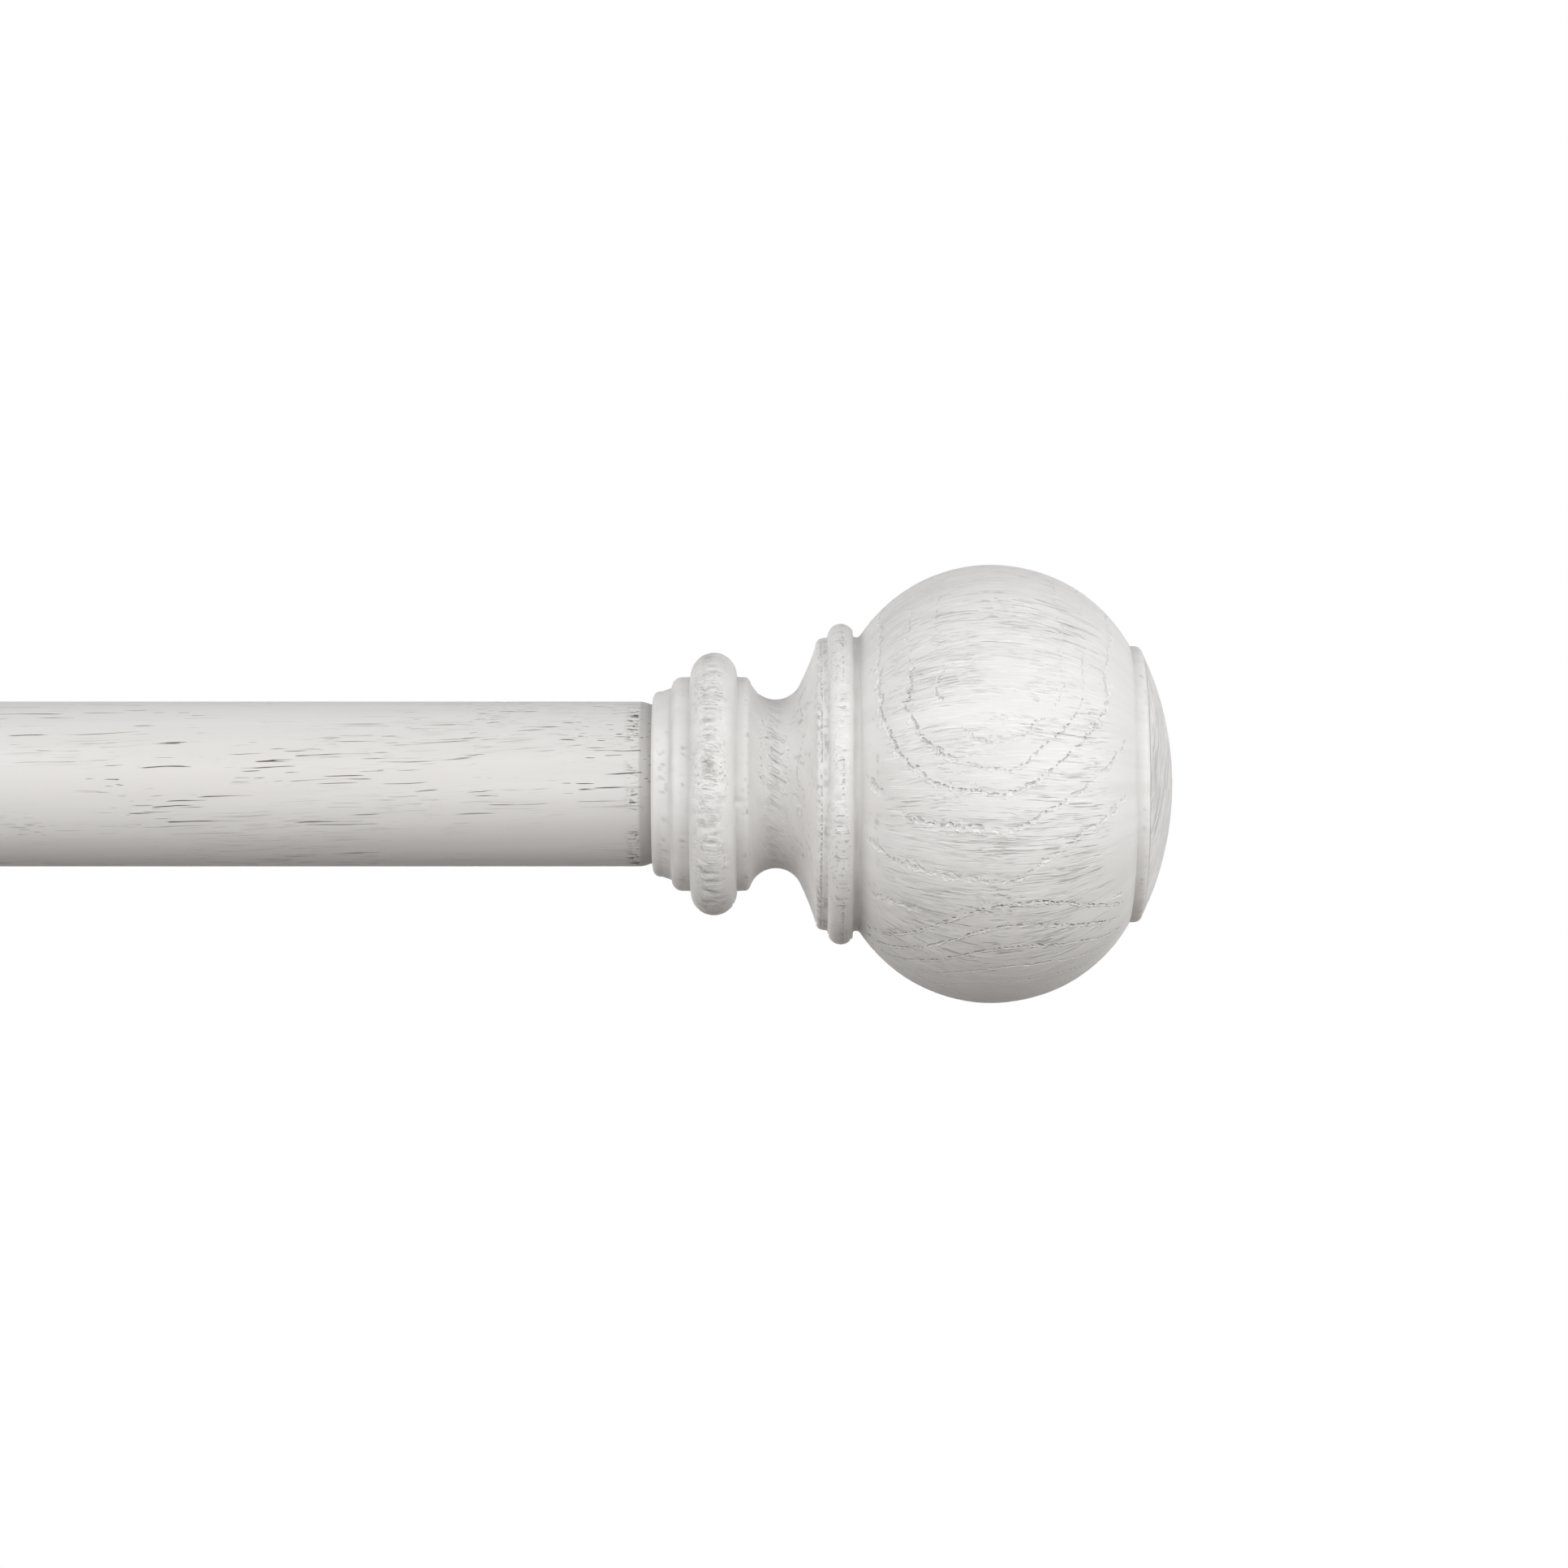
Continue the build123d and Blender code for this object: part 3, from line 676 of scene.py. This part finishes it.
def fibre_place(place):
    """Place along and across the fibre, in millimetres."""
    if place.x > DOME_START:
        along = place.z * math.sin(DOME_LEAN) + place.y * math.cos(DOME_LEAN)
        across = place.z * math.cos(DOME_LEAN) - place.y * math.sin(DOME_LEAN)
        return Vector((along, across, DOME_APART))
    if place.x < BALL_START:
        lean = COVE_LEAN * (min(max(place.x, COVE[0]), COVE[1]) - COVE[0])
        turned = Matrix.Rotation(-lean, 3, "X") @ place
        return Vector((NECK_SHORTENING * place.x, turned.y, turned.z))
    angle = around(place)
    return Vector((place.x, BALL_RADIUS * math.cos(angle), BALL_RADIUS * math.sin(angle)))


print("fibre leans", round(math.degrees(COVE_LEAN * (COVE[1] - COVE[0]))), "degrees at the end of the cove")

# %% [markdown]
# ## Carving the finial
# The relief is real geometry: each ring line is a broken groove, fibres are fine scratches, the bead
# carries short cuts across its crest and a few dents sit on the rings. All of it goes inwards, so the
# casting never grows past its turned size.

# %% Depth of the carving
SKIN = 0.10
SWELL = 0.10
SWELL_SIZE = 9.0
GROOVE = 0.06
GROOVE_REACH = 0.15
GROOVE_LEAST = 0.3
GAP_SIZE = 7.0
GAP_SHIFT = Vector((0, 4, 0))
GAP_EASE = (-0.30, 0.10)
PIT_SIZE = 0.75
PIT_EASE = (-0.15, 0.35)
SCRATCH = 0.05
DOME_SCRATCH = 0.10
SCRATCH_SIZE = (9.0, 0.8)
SCRATCH_EASE = (0.05, 0.55)
BEAD_CUT = 0.18
BEAD_CREST = 8.9
BEAD_REACH = 2.3
CUT_SEED = 1
CUT_BEND = 0.9
CUT_BEND_SIZE = 1.6
CUT_SIZE = (3.5, 0.8)
CUT_EASE = (0.05, 0.32)
DENT_DEPTH = 0.40
DENT_REACH = 0.55
DENTS = ((28.2, -2.4), (28.4, -6.2), (13.4, -2.7), (29.3, 11.5))


def long_noise(place, size):
    """Noise with one size along x and another across it."""
    along, across = size
    return noise.noise(Vector((place.x / along, place.y / across, place.z / across)))


def bead_cut(place):
    """How far a short cut has gone in, from 0 to 1, on the crest of the bead."""
    bent = place + CUT_BEND * noise.noise_vector(place / CUT_BEND_SIZE)
    return ease(long_noise(bent, CUT_SIZE), *CUT_EASE) * near(place.x, BEAD_CREST, BEAD_REACH)


def carving(place, ring, shown, fibre):
    """How deep the relief lies below the turned surface at a place, in millimetres."""
    off_line = abs(ring % 1 - RING_LINE)
    gap = ease(noise.noise(place / GAP_SIZE + GAP_SHIFT), *GAP_EASE)
    pit = ease(noise.noise(place / PIT_SIZE), *PIT_EASE)
    depth = GROOVE * shown * gap * (GROOVE_LEAST + pit) * (1 - ease(off_line, 0, GROOVE_REACH))
    scratch = DOME_SCRATCH if place.x > DOME_START else SCRATCH
    depth += scratch * ease(long_noise(fibre, SCRATCH_SIZE), *SCRATCH_EASE)
    depth += SWELL * (1 + noise.noise(place / SWELL_SIZE)) / 2
    depth += BEAD_CUT * bead_cut(place)
    if place.y < 0:
        for along, height in DENTS:
            depth += DENT_DEPTH * near(place.x, along, DENT_REACH) * near(place.z, height, DENT_REACH)
    return SKIN + depth


noise.seed_set(CUT_SEED)  # noise_vector takes its offsets from the clock until a seed is set
print("grooves", GROOVE, "mm deep, deepest dent", DENT_DEPTH, "mm")

# %% [markdown]
# ## Open grain
# How many strokes a place takes depends on how open its grain is. It is most open on the dome, on the bead,
# in the cove and at a few spots of the ball, and closed on the flat collars.

# %% Open grain
NECK_GRAIN = ((18.6, 2.0, 0.8), (28.6, 1.6, 0.6), (BEAD_CREST, BEAD_REACH, 0.9))
BALL_GRAIN = 0.55
GRAIN_START = (BALL_START + 0.5, BALL_START + 8)
GRAIN_END = (BALL_END - 10, BALL_END + 1.5)
BRUSHED_SPOTS = ((42.6, -31), (50, 15), (40, 35), (70, 37), (59, 43))
BRUSHED_REACH = (8.0, 7.0)
BRUSHED_MORE = 0.35


def open_grain(place):
    """How open the grain is at a place, from 0 on the flat collars to 1 on the dome."""
    if place.x < BALL_START:
        return max(share * near(place.x, middle, reach) for middle, reach, share in NECK_GRAIN)
    if place.x < DOME_START:
        angle = math.degrees(around(place))
        along, round_about = BRUSHED_REACH
        brushed = max(near(place.x, x, along) * near(angle, turn, round_about) for x, turn in BRUSHED_SPOTS)
        ends = ease(place.x, *GRAIN_START) * (1 - ease(place.x, *GRAIN_END))
        return (BALL_GRAIN + BRUSHED_MORE * brushed) * ends
    return 1.0


print("grain opened at", len(NECK_GRAIN), "bands of the neck and", len(BRUSHED_SPOTS), "spots of the ball")

# %% [markdown]
# ## Kept wash and painted crease shade
# The dark wash is wiped off after brushing. It stays in the cuts of the bead, in ticks on the edges of the
# narrow collar after the flare and in specks on other worn edges. The creases, and a broad band of the ball
# next to the ring, get the same grey thinly as painted shade.

# %% Kept wash and painted crease shade
WORN_SIZE = 3.0
WORN_EASE = (-0.25, 0.35)
SPECKLE_SIZE = 0.7
TICK_EASE = (0.0, 0.30)
SPECK_EASE = (0.20, 0.42)
COLLAR_EDGES = (25.3, 26.5)
COLLAR_REACH = 0.35
COLLAR_KEPT = (0.52, 0.78)
CREASE_SHADE_LEVELS = (0.6, 0.4)
SPECKED_BANDS = ((2.0, 0.9), (4.9, 0.5), (14.6, 0.5), (23.0, 1.6), (33.6, 0.9), (74.3, 0.4))
# Painted shade: grey in the narrow corners and next to the ring, where the turned shape shades itself.
CREASE_SHADES = ((2.9, 0.5, 0.45), (5.75, 0.4, 0.30), (13.1, 0.4, 0.30), (30.9, 0.4, 0.40), (35.5, 3.0, 0.18),
           (73.2, 0.5, 0.30))


def wash_and_crease_shade(place):
    """Share of grey at a place: dark wash kept in cuts and on worn edges, and painted shade in the creases."""
    worn = ease(noise.noise(place / WORN_SIZE), *WORN_EASE)
    speckle = noise.noise(place / SPECKLE_SIZE)
    collar = max(near(place.x, edge, COLLAR_REACH) for edge in COLLAR_EDGES)
    collar *= ease(speckle, *TICK_EASE) * (COLLAR_KEPT[0] + COLLAR_KEPT[1] * worn)
    specked = max(near(place.x, middle, reach) for middle, reach in SPECKED_BANDS)
    specked *= ease(speckle, *SPECK_EASE) * worn
    # Painted shade in the creases, a little uneven.
    painted_crease_shade = max(share * near(place.x, middle, reach) for middle, reach, share in CREASE_SHADES)
    painted_crease_shade *= CREASE_SHADE_LEVELS[0] + CREASE_SHADE_LEVELS[1] * worn
    return max(bead_cut(place) * worn, collar, specked, painted_crease_shade)


print("wash kept in", len(CREASE_SHADES), "creases and on", len(SPECKED_BANDS), "specked bands")

# %% [markdown]
# ## The finial's outline
# From its base outwards the finial has a small foot, a bead between two flat collars, a cove that flares
# out to a ring, the ball, and a domed end with a narrow rim. The outline starts at the bottom of the hole
# for the insert and ends at the top of the dome. Each stretch of it is a straight line, or an arc with a
# point on its way, and gets as many steps as its detail needs: the ball has the most, because its grain
# shows most.

# %% Outline of the casting
INSERT_HOLE = (16.5, 4.78)
BASE_FACE = 0.02
PROFILE = {
    "base face": (None, (BASE_FACE, 13.1), 4),
    "foot edge": ((0.44, 14.02), (1.4, 14.4), 5),
    "foot": (None, (2.8, 14.9), 3),
    "lower collar edge": ((3.3, 16.1), (4.5, 16.6), 5),
    "lower collar": (None, (5.7, 16.6), 3),
    "bead": ((9.4, 20.35), (13.1, 16.6), 24),
    "upper collar": (None, (14.1, 16.6), 2),
    "upper collar edge": ((14.75, 16.36), (15.1, 15.85), 4),
    "cove": ((18.9, 13.13), (22.6, 15.63), 20),
    "flare": ((23.85, 18.48), (24.85, 21.3), 18),
    "flare edge": ((25.25, 22.25), (25.95, 22.6), 5),
    "flare band": (None, (26.7, 22.7), 2),
    "ring": ((28.9, 24.85), (30.85, 23.67), 14),
    "crease": ((31.3, 22.72), (31.75, 22.95), 5),
    "ball": ((52.2, BALL_RADIUS), (73.1, 21.85), 108),
    "rim corner": (None, (73.2, 21.4), 1),
    "rim": (None, (74.1, 21.4), 2),
    "rim edge": ((74.9, 21.08), (75.25, 20.4), 3),
    "dome": ((78.8, 10.4), (80.05, 0.0), 24),
}

shape = bmesh.new()
tip = shape.verts.new((INSERT_HOLE[0], 0, 0))
tip = draw_line(shape, tip, INSERT_HOLE)
tip = draw_line(shape, tip, (BASE_FACE, INSERT_HOLE[1]))
for through, end, steps in PROFILE.values():
    if through:
        tip = draw_arc(shape, tip, through, end, steps)
    else:
        tip = draw_line(shape, tip, end, steps)
print("outline of", len(PROFILE), "stretches in", len(shape.edges), "steps")

# %% [markdown]
# ## Turn and carve
# The outline is spun to a closed skin. Every corner of it then stores its values as attributes and sinks
# along its normal by the depth of the carving. The base stays flat, where it sits on the tube's mouth.

# %% Turn and carve the casting
FINIAL_SIDES = 384
BASE_SOFTNESS = (0.3, 1.6)

spin_round(shape, FINIAL_SIDES)
shape.normal_update()
ring_layer = shape.verts.layers.float.new("growth_ring")
shown_layer = shape.verts.layers.float.new("ring_shown")
wash_and_shade_layer = shape.verts.layers.float.new("wash_and_crease_shade")
grain_layer = shape.verts.layers.float.new("open_grain")
fibre_layer = shape.verts.layers.float_vector.new("fibre_place")
moves = []
for vert in shape.verts:
    place = vert.co.copy()
    (ring, shown), fibre = growth_ring(place), fibre_place(place)
    depth = carving(place, ring, shown, fibre) * ease(place.x, *BASE_SOFTNESS)
    vert[ring_layer] = ring
    vert[shown_layer] = shown
    vert[fibre_layer] = fibre
    vert[wash_and_shade_layer] = wash_and_crease_shade(place)
    vert[grain_layer] = open_grain(place)
    moves.append(vert.normal * -depth)
for vert, move in zip(shape.verts, moves):
    vert.co += move
casting = to_mesh(shape, "finial_casting")
print("casting of", len(casting.polygons), "faces")

# %% [markdown]
# ## Finish of the casting
# The resin is painted white like the rod, a little brighter, and then brushed with thin grey along the
# fibre: broad strokes in patches, many fine ones, and a close hatching where the grain is most open. The
# grey also stays where the mesh says that the wash is kept, and lies thinly in the creases as painted shade.
# Last, the fine hairs of the fibre and the outer lips of the pores are made whiter, as a painted highlight.
# The ring, how far it shows, the fibre, the open grain and the wash with its crease shade are attributes of
# the mesh, so both finials carry the same figure.

# %% Finish of the finial
RESIN_WHITE = (0.815, 0.805, 0.792, 1)
RESIN_SHADE = (0.760, 0.745, 0.732, 1)
GREY_WASH = (0.30, 0.285, 0.275, 1)
PORE_COLOUR = (0.16, 0.148, 0.14, 1)
# Painted highlight: the white of the pores' outer lips and of the fibre's hairs.
HIGHLIGHT_WHITE = (0.94, 0.935, 0.925, 1)
RESIN_STRETCH = 6.0
WASH_STROKES = {"Length": 11.0, "Width": 0.34, "Edge": 0.06, "Wander": 6.0, "Patch": 0.11}
WASH_LEVELS = (0.650, 0.565)
FINE_STROKES = {"Length": 8.0, "Width": 0.19, "Edge": 0.06, "Wander": 5.0, "Patch": 0.50}
FINE_LEVELS = (0.62, 0.49)
HATCHING = {"Length": 9.0, "Width": 0.26, "Level": 0.56, "Edge": 0.05, "Wander": 4.0, "Patch": 0.0}
HATCH_STRENGTH = 1.5
HATCH_RISE = (0.58, 0.85)
OPEN_RISE = (0.05, 0.35)
WASH_SHARE = 0.50
FINE_SHARE = 0.08
WASH_AND_SHADE_SHARE = 0.50
STAIN_SHARE = 0.12
CHAIN_REACH = 0.085
SLANT_WHOLE = 0.7
HAIR_SIZE = (5.0, 0.22)
HAIR_RISE = (0.53, 0.70)
HAIR_HIGHLIGHT_SHARE = 0.65

finial_finish, tree, shader = new_material("finial_wash")
fibre = add_node(tree, "ShaderNodeAttribute", attribute_name="fibre_place").outputs["Vector"]
ring = add_node(tree, "ShaderNodeAttribute", attribute_name="growth_ring").outputs["Fac"]
shown = add_node(tree, "ShaderNodeAttribute", attribute_name="ring_shown").outputs["Fac"]
wash_and_shade = add_node(tree, "ShaderNodeAttribute", attribute_name="wash_and_crease_shade").outputs["Fac"]
grain = add_node(tree, "ShaderNodeAttribute", attribute_name="open_grain").outputs["Fac"]


def times(first, second):
    """The product of two values of the finial's finish."""
    return calculate(tree, "MULTIPLY", first, second)


def level_for(levels):
    """The level of a streak mask that moves from closed grain to open grain."""
    closed, opened_up = levels
    return calculate(tree, "SUBTRACT", closed, times(grain, closed - opened_up))


def strokes_of(brush, level=None):
    """A mask of brush strokes along the finial's fibre."""
    return use_group(tree, streaks, {"Place": fibre, **brush, **(level or {})})["Mask"]


white = {"Place": fibre, "White": RESIN_WHITE, "Shade": RESIN_SHADE, "Stretch": RESIN_STRETCH}
colour = use_group(tree, uneven, white)["Color"]
opened = ramp_up(tree, grain, *OPEN_RISE)
strokes = strokes_of(WASH_STROKES, {"Level": level_for(WASH_LEVELS)})
fine = times(strokes_of(FINE_STROKES, {"Level": level_for(FINE_LEVELS)}), opened)
hatch = strokes_of(HATCHING)
hatch = times(times(hatch, ramp_up(tree, grain, *HATCH_RISE)), HATCH_STRENGTH)
wash = calculate(tree, "MAXIMUM", times(strokes, opened), hatch)
slanted = ramp_up(tree, ring, SLANT_NUMBER - 2, SLANT_NUMBER - 1)
middle_arch = calculate(tree, "COMPARE", ring, RING_LINE)
whole = calculate(tree, "MAXIMUM", middle_arch, times(slanted, SLANT_WHOLE))
figure = {"Place": place_in_mm(tree), "Ring": ring, "Shown": shown, "Reach": CHAIN_REACH, "Whole": whole}
chains = use_group(tree, pores, figure)
colour = mix_colour(tree, times(wash, WASH_SHARE), colour, GREY_WASH)
colour = mix_colour(tree, times(fine, FINE_SHARE), colour, GREY_WASH)
# Grey of the kept wash, with painted shade in the creases.
colour = mix_colour(tree, times(wash_and_shade, WASH_AND_SHADE_SHARE), colour, GREY_WASH)
colour = mix_colour(tree, times(chains["Stain"], STAIN_SHARE), colour, PORE_COLOUR)
hairs = noise_value(tree, stretch(tree, fibre, *HAIR_SIZE), 1.0, 2.0)
# Painted highlight on the fibre's hairs and on the outer lips of the pores.
hair_highlight = times(ramp_up(tree, hairs, *HAIR_RISE), times(opened, HAIR_HIGHLIGHT_SHARE))
colour = mix_colour(tree, calculate(tree, "MAXIMUM", hair_highlight, chains["Lips_and_highlight"]), colour, HIGHLIGHT_WHITE)
tree.links.new(colour, shader.inputs["Base Color"])
print("finish", finial_finish.name, "with", len(tree.nodes), "nodes for its colour")

# %% [markdown]
# ## Relief of the finish
# Pores and strokes are too fine for the mesh, so bump nodes carry them on top of the carving. Pits sink and
# their lips rise, a little more on the slanting rings. Strokes sink less, and hairs of the fibre stand up.

# %% Relief of the finish
RESIN_ROUGHNESS = 0.46
RESIN_SPECULAR = 0.35
PIT_DEPTH = 0.20
LIP_HEIGHT = 0.45
SLANT_DEEPER = 0.7
LINE_DEPTH = 0.10
FINE_HEIGHT = 0.6
HAIR_HEIGHT = 0.5

shader.inputs["Roughness"].default_value = RESIN_ROUGHNESS
shader.inputs["Specular IOR Level"].default_value = RESIN_SPECULAR
deeper = calculate(tree, "ADD", times(slanted, SLANT_DEEPER), 1.0)
pitted = calculate(tree, "SUBTRACT", times(chains["Lips_and_highlight"], LIP_HEIGHT), chains["Pits"])
pit_bump = add_node(tree, "ShaderNodeBump", {"Height": times(pitted, deeper), "Strength": 1.0,
                                             "Distance": PIT_DEPTH * MM})
lines = calculate(tree, "SUBTRACT", times(fine, -FINE_HEIGHT), wash)
lines = calculate(tree, "ADD", lines, times(times(hairs, opened), HAIR_HEIGHT))
bump = add_node(tree, "ShaderNodeBump", {"Height": lines, "Strength": 1.0, "Distance": LINE_DEPTH * MM,
                                         "Normal": pit_bump.outputs["Normal"]})
tree.links.new(bump.outputs["Normal"], shader.inputs["Normal"])
print("pits", PIT_DEPTH, "mm and strokes", LINE_DEPTH, "mm deep")

# %% [markdown]
# ## The two finials
# Both ends carry the same casting. The left one faces the other way and is screwed on to another angle, so
# that the pair doesn't look mirrored.

# %% Place the finials
FINIAL_SHARP = 60
LEFT_CLOCKING = math.radians(160)

for side in SIDES:
    clocking = Matrix.Rotation(LEFT_CLOCKING if side == "left" else 0, 4, "X")
    place = Matrix.Translation(finial_base[side]) @ FACING[side] @ clocking
    piece = finish_piece(casting.copy(), place, f"{side}_finial_cast", f"{side}_finial", finial_finish,
                         FINIAL_SHARP)
    print(piece.name, "riding on", body_of[f"{side}_finial"])

# %% [markdown]
# ## Threads
# The studs and the thumbscrews carry a real helical thread. One tooth of the thread is drawn as three
# lines, and a spin that also moves along the axis winds it into one turn of a screw. That turn is copied
# along the axis. Neighbouring turns share their edge, so merging doubles closes the skin. Two cuts square
# to the axis trim it to length, and the ends are filled.

# %% Screw threads
THREAD_STEPS = 40
THREAD_DEPTH = 0.61
CREST_SHARE = 0.15
THREAD_SHARP = 35


def threaded_shank(node, axis, pitch):
    """A threaded rod in the place of a CAD shank that lies along x or stands along z."""
    low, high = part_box(node)
    length = (high - low)[axis] / MM
    radius = (high - low).y / 2 / MM
    root = radius - THREAD_DEPTH * pitch
    shape = bmesh.new()
    tip = shape.verts.new((-pitch, 0, root))
    tip = draw_line(shape, tip, (-pitch * (0.5 + CREST_SHARE / 2), radius))
    tip = draw_line(shape, tip, (-pitch * (0.5 - CREST_SHARE / 2), radius))
    draw_line(shape, tip, (0, root))
    bmesh.ops.spin(shape, geom=shape.verts[:] + shape.edges[:], cent=(0, 0, 0), axis=(1, 0, 0),
                   angle=math.tau, dvec=(pitch / THREAD_STEPS, 0, 0), steps=THREAD_STEPS,
                   use_duplicate=False)
    double_up(shape, math.ceil(math.log2(length / pitch + 2)), Matrix.Translation((pitch, 0, 0)))
    for at, outward in ((0, -1), (length, 1)):
        bmesh.ops.bisect_plane(shape, geom=shape.verts[:] + shape.edges[:] + shape.faces[:],
                               plane_co=(at, 0, 0), plane_no=(outward, 0, 0), clear_outer=True)
        rim = [edge for edge in shape.edges if edge.is_boundary and abs(edge.verts[0].co.x - at) < WELD_MM]
        bmesh.ops.contextual_create(shape, geom=rim)
    start = (low + high) / 2
    start[axis] = low[axis]
    upright = Matrix.Rotation(math.radians(-90 if axis == 2 else 0), 4, "Y")
    place = Matrix.Translation(start) @ upright
    return finish_piece(to_mesh(shape, node), place, f"{node}_threaded", node, zinc, THREAD_SHARP)


STUD_PITCH = 1.27
THUMB_PITCH = 0.8
for side in SIDES:
    threaded_shank(f"{side}_finial_stud", 0, STUD_PITCH)
    for lock in ("arm_lock", "rod_lock"):
        piece = threaded_shank(f"{side}_{lock}_shank", 2, THUMB_PITCH)
        print(piece.name, len(piece.data.polygons), "faces")

# %% [markdown]
# ## Floor
# A pale floor lies well below the rod, out of the photograph's view, and keeps the shadow for other views.
# It glows for the camera and fades out to white at its edge, and it throws back less light than its colour
# says, so that the underside of the rod stays grey. From below it is clear, so that it hides nothing.

# %% Floor
FLOOR_DROP = 0.30
FLOOR_SIZE = (4.0, 2.4)
FLOOR_MIDDLE_Y = -0.62
FLOOR_COLOUR = (0.80, 0.79, 0.78, 1)
FLOOR_BOUNCE = (0.25, 0.234, 0.221, 1)
FLOOR_GLOW = 0.65
FLOOR_ROUGHNESS = 0.9
FLOOR_FADE = (0.55, 1.0)

shape = bmesh.new()
bmesh.ops.create_grid(shape, x_segments=1, y_segments=1, size=0.5)
bmesh.ops.scale(shape, vec=(*FLOOR_SIZE, 1), verts=shape.verts)
bmesh.ops.translate(shape, vec=(0, FLOOR_MIDDLE_Y, -FLOOR_DROP), verts=shape.verts)
floor_mesh = bpy.data.meshes.new("floor")
shape.to_mesh(floor_mesh)
shape.free()
floor_paint, tree, shader = new_material("floor_paint")
camera_ray = add_node(tree, "ShaderNodeLightPath").outputs["Is Camera Ray"]
tree.links.new(mix_colour(tree, camera_ray, FLOOR_BOUNCE, FLOOR_COLOUR), shader.inputs["Base Color"])
shader.inputs["Roughness"].default_value = FLOOR_ROUGHNESS
spot = add_node(tree, "ShaderNodeMapping", {
    "Vector": add_node(tree, "ShaderNodeTexCoord").outputs["Object"],
    "Location": (0, -2 * FLOOR_MIDDLE_Y / FLOOR_SIZE[1], 0),
    "Scale": (2 / FLOOR_SIZE[0], 2 / FLOOR_SIZE[1], 0),
}).outputs["Vector"]
reach = add_node(tree, "ShaderNodeVectorMath", {0: spot}, operation="LENGTH").outputs["Value"]
edge = ramp_up(tree, reach, *FLOOR_FADE)
pale = calculate(tree, "MAXIMUM", edge, FLOOR_GLOW)
glow = add_node(tree, "ShaderNodeEmission").outputs["Emission"]
faded = add_node(tree, "ShaderNodeMixShader", {0: calculate(tree, "MULTIPLY", pale, camera_ray),
                                               1: shader.outputs["BSDF"], 2: glow})
below = add_node(tree, "ShaderNodeNewGeometry").outputs["Backfacing"]
clear = add_node(tree, "ShaderNodeBsdfTransparent").outputs["BSDF"]
one_sided = add_node(tree, "ShaderNodeMixShader", {0: calculate(tree, "MULTIPLY", below, camera_ray),
                                                   1: faded.outputs["Shader"], 2: clear})
tree.links.new(one_sided.outputs["Shader"], tree.nodes["Material Output"].inputs["Surface"])
floor_mesh.materials.append(floor_paint)
floor = bpy.data.objects.new("floor", floor_mesh)
bpy.context.scene.collection.objects.link(floor)
print("floor", round(FLOOR_DROP / MM), "mm below the rod's axis")

# %% [markdown]
# ## White background
# The photograph has a white background. The world is white where the camera, a mirror or glass looks at it,
# and a dim grey as a source of light.

# %% World
AMBIENT = 0.15

world = bpy.data.worlds.new("studio")
bpy.context.scene.world = world
world.use_nodes = True
tree = world.node_tree
rays = add_node(tree, "ShaderNodeLightPath").outputs
seen = calculate(tree, "MAXIMUM", rays["Is Camera Ray"],
                 calculate(tree, "MAXIMUM", rays["Is Glossy Ray"], rays["Is Transmission Ray"]))
background = tree.nodes["Background"]
background.inputs["Color"].default_value = (1, 1, 1, 1)
strength = add_node(tree, "ShaderNodeMapRange", {"Value": seen, "To Min": AMBIENT, "To Max": 1.0})
tree.links.new(strength.outputs["Result"], background.inputs["Strength"])
print("world gives", AMBIENT, "of white as light")

# %% [markdown]
# ## Lamps
# The light in the photograph is soft, and leaves the top and the underside of the rod greyer than its
# middle. Two broad lamps at the sides give that, with a little light from the front and from above. A lamp
# from behind serves other views. The last lamp is linked to the floor alone, and makes the shadow there.

# %% Lamps
LAMPS = (
    ("right_light", 50, 4, 80, 0.97),
    ("left_light", -52, 4, 80, 0.81),
    ("front_light", 0, 12, 50, 0.06),
    ("top_light", 0, 70, 60, 0.02),
    ("back_light", 180, 0, 12, 0.50),
    ("floor_light", -20, 62, 8, 0.35),
)
for name, azimuth, elevation, spread, level in LAMPS:
    lamp_data = bpy.data.lights.new(name, "SUN")
    lamp_data.angle = math.radians(spread)
    lamp_data.energy = level * math.pi
    lamp = bpy.data.objects.new(name, lamp_data)
    lamp.rotation_euler = (math.radians(90 - elevation), 0, math.radians(azimuth))
    bpy.context.scene.collection.objects.link(lamp)
    print(name, "from", azimuth, "degrees round and", elevation, "degrees up")
lit_floor = bpy.data.collections.new("lit_floor")
lit_floor.objects.link(floor)
lamp.light_linking.receiver_collection = lit_floor
bpy.context.scene.view_settings.view_transform = "Standard"
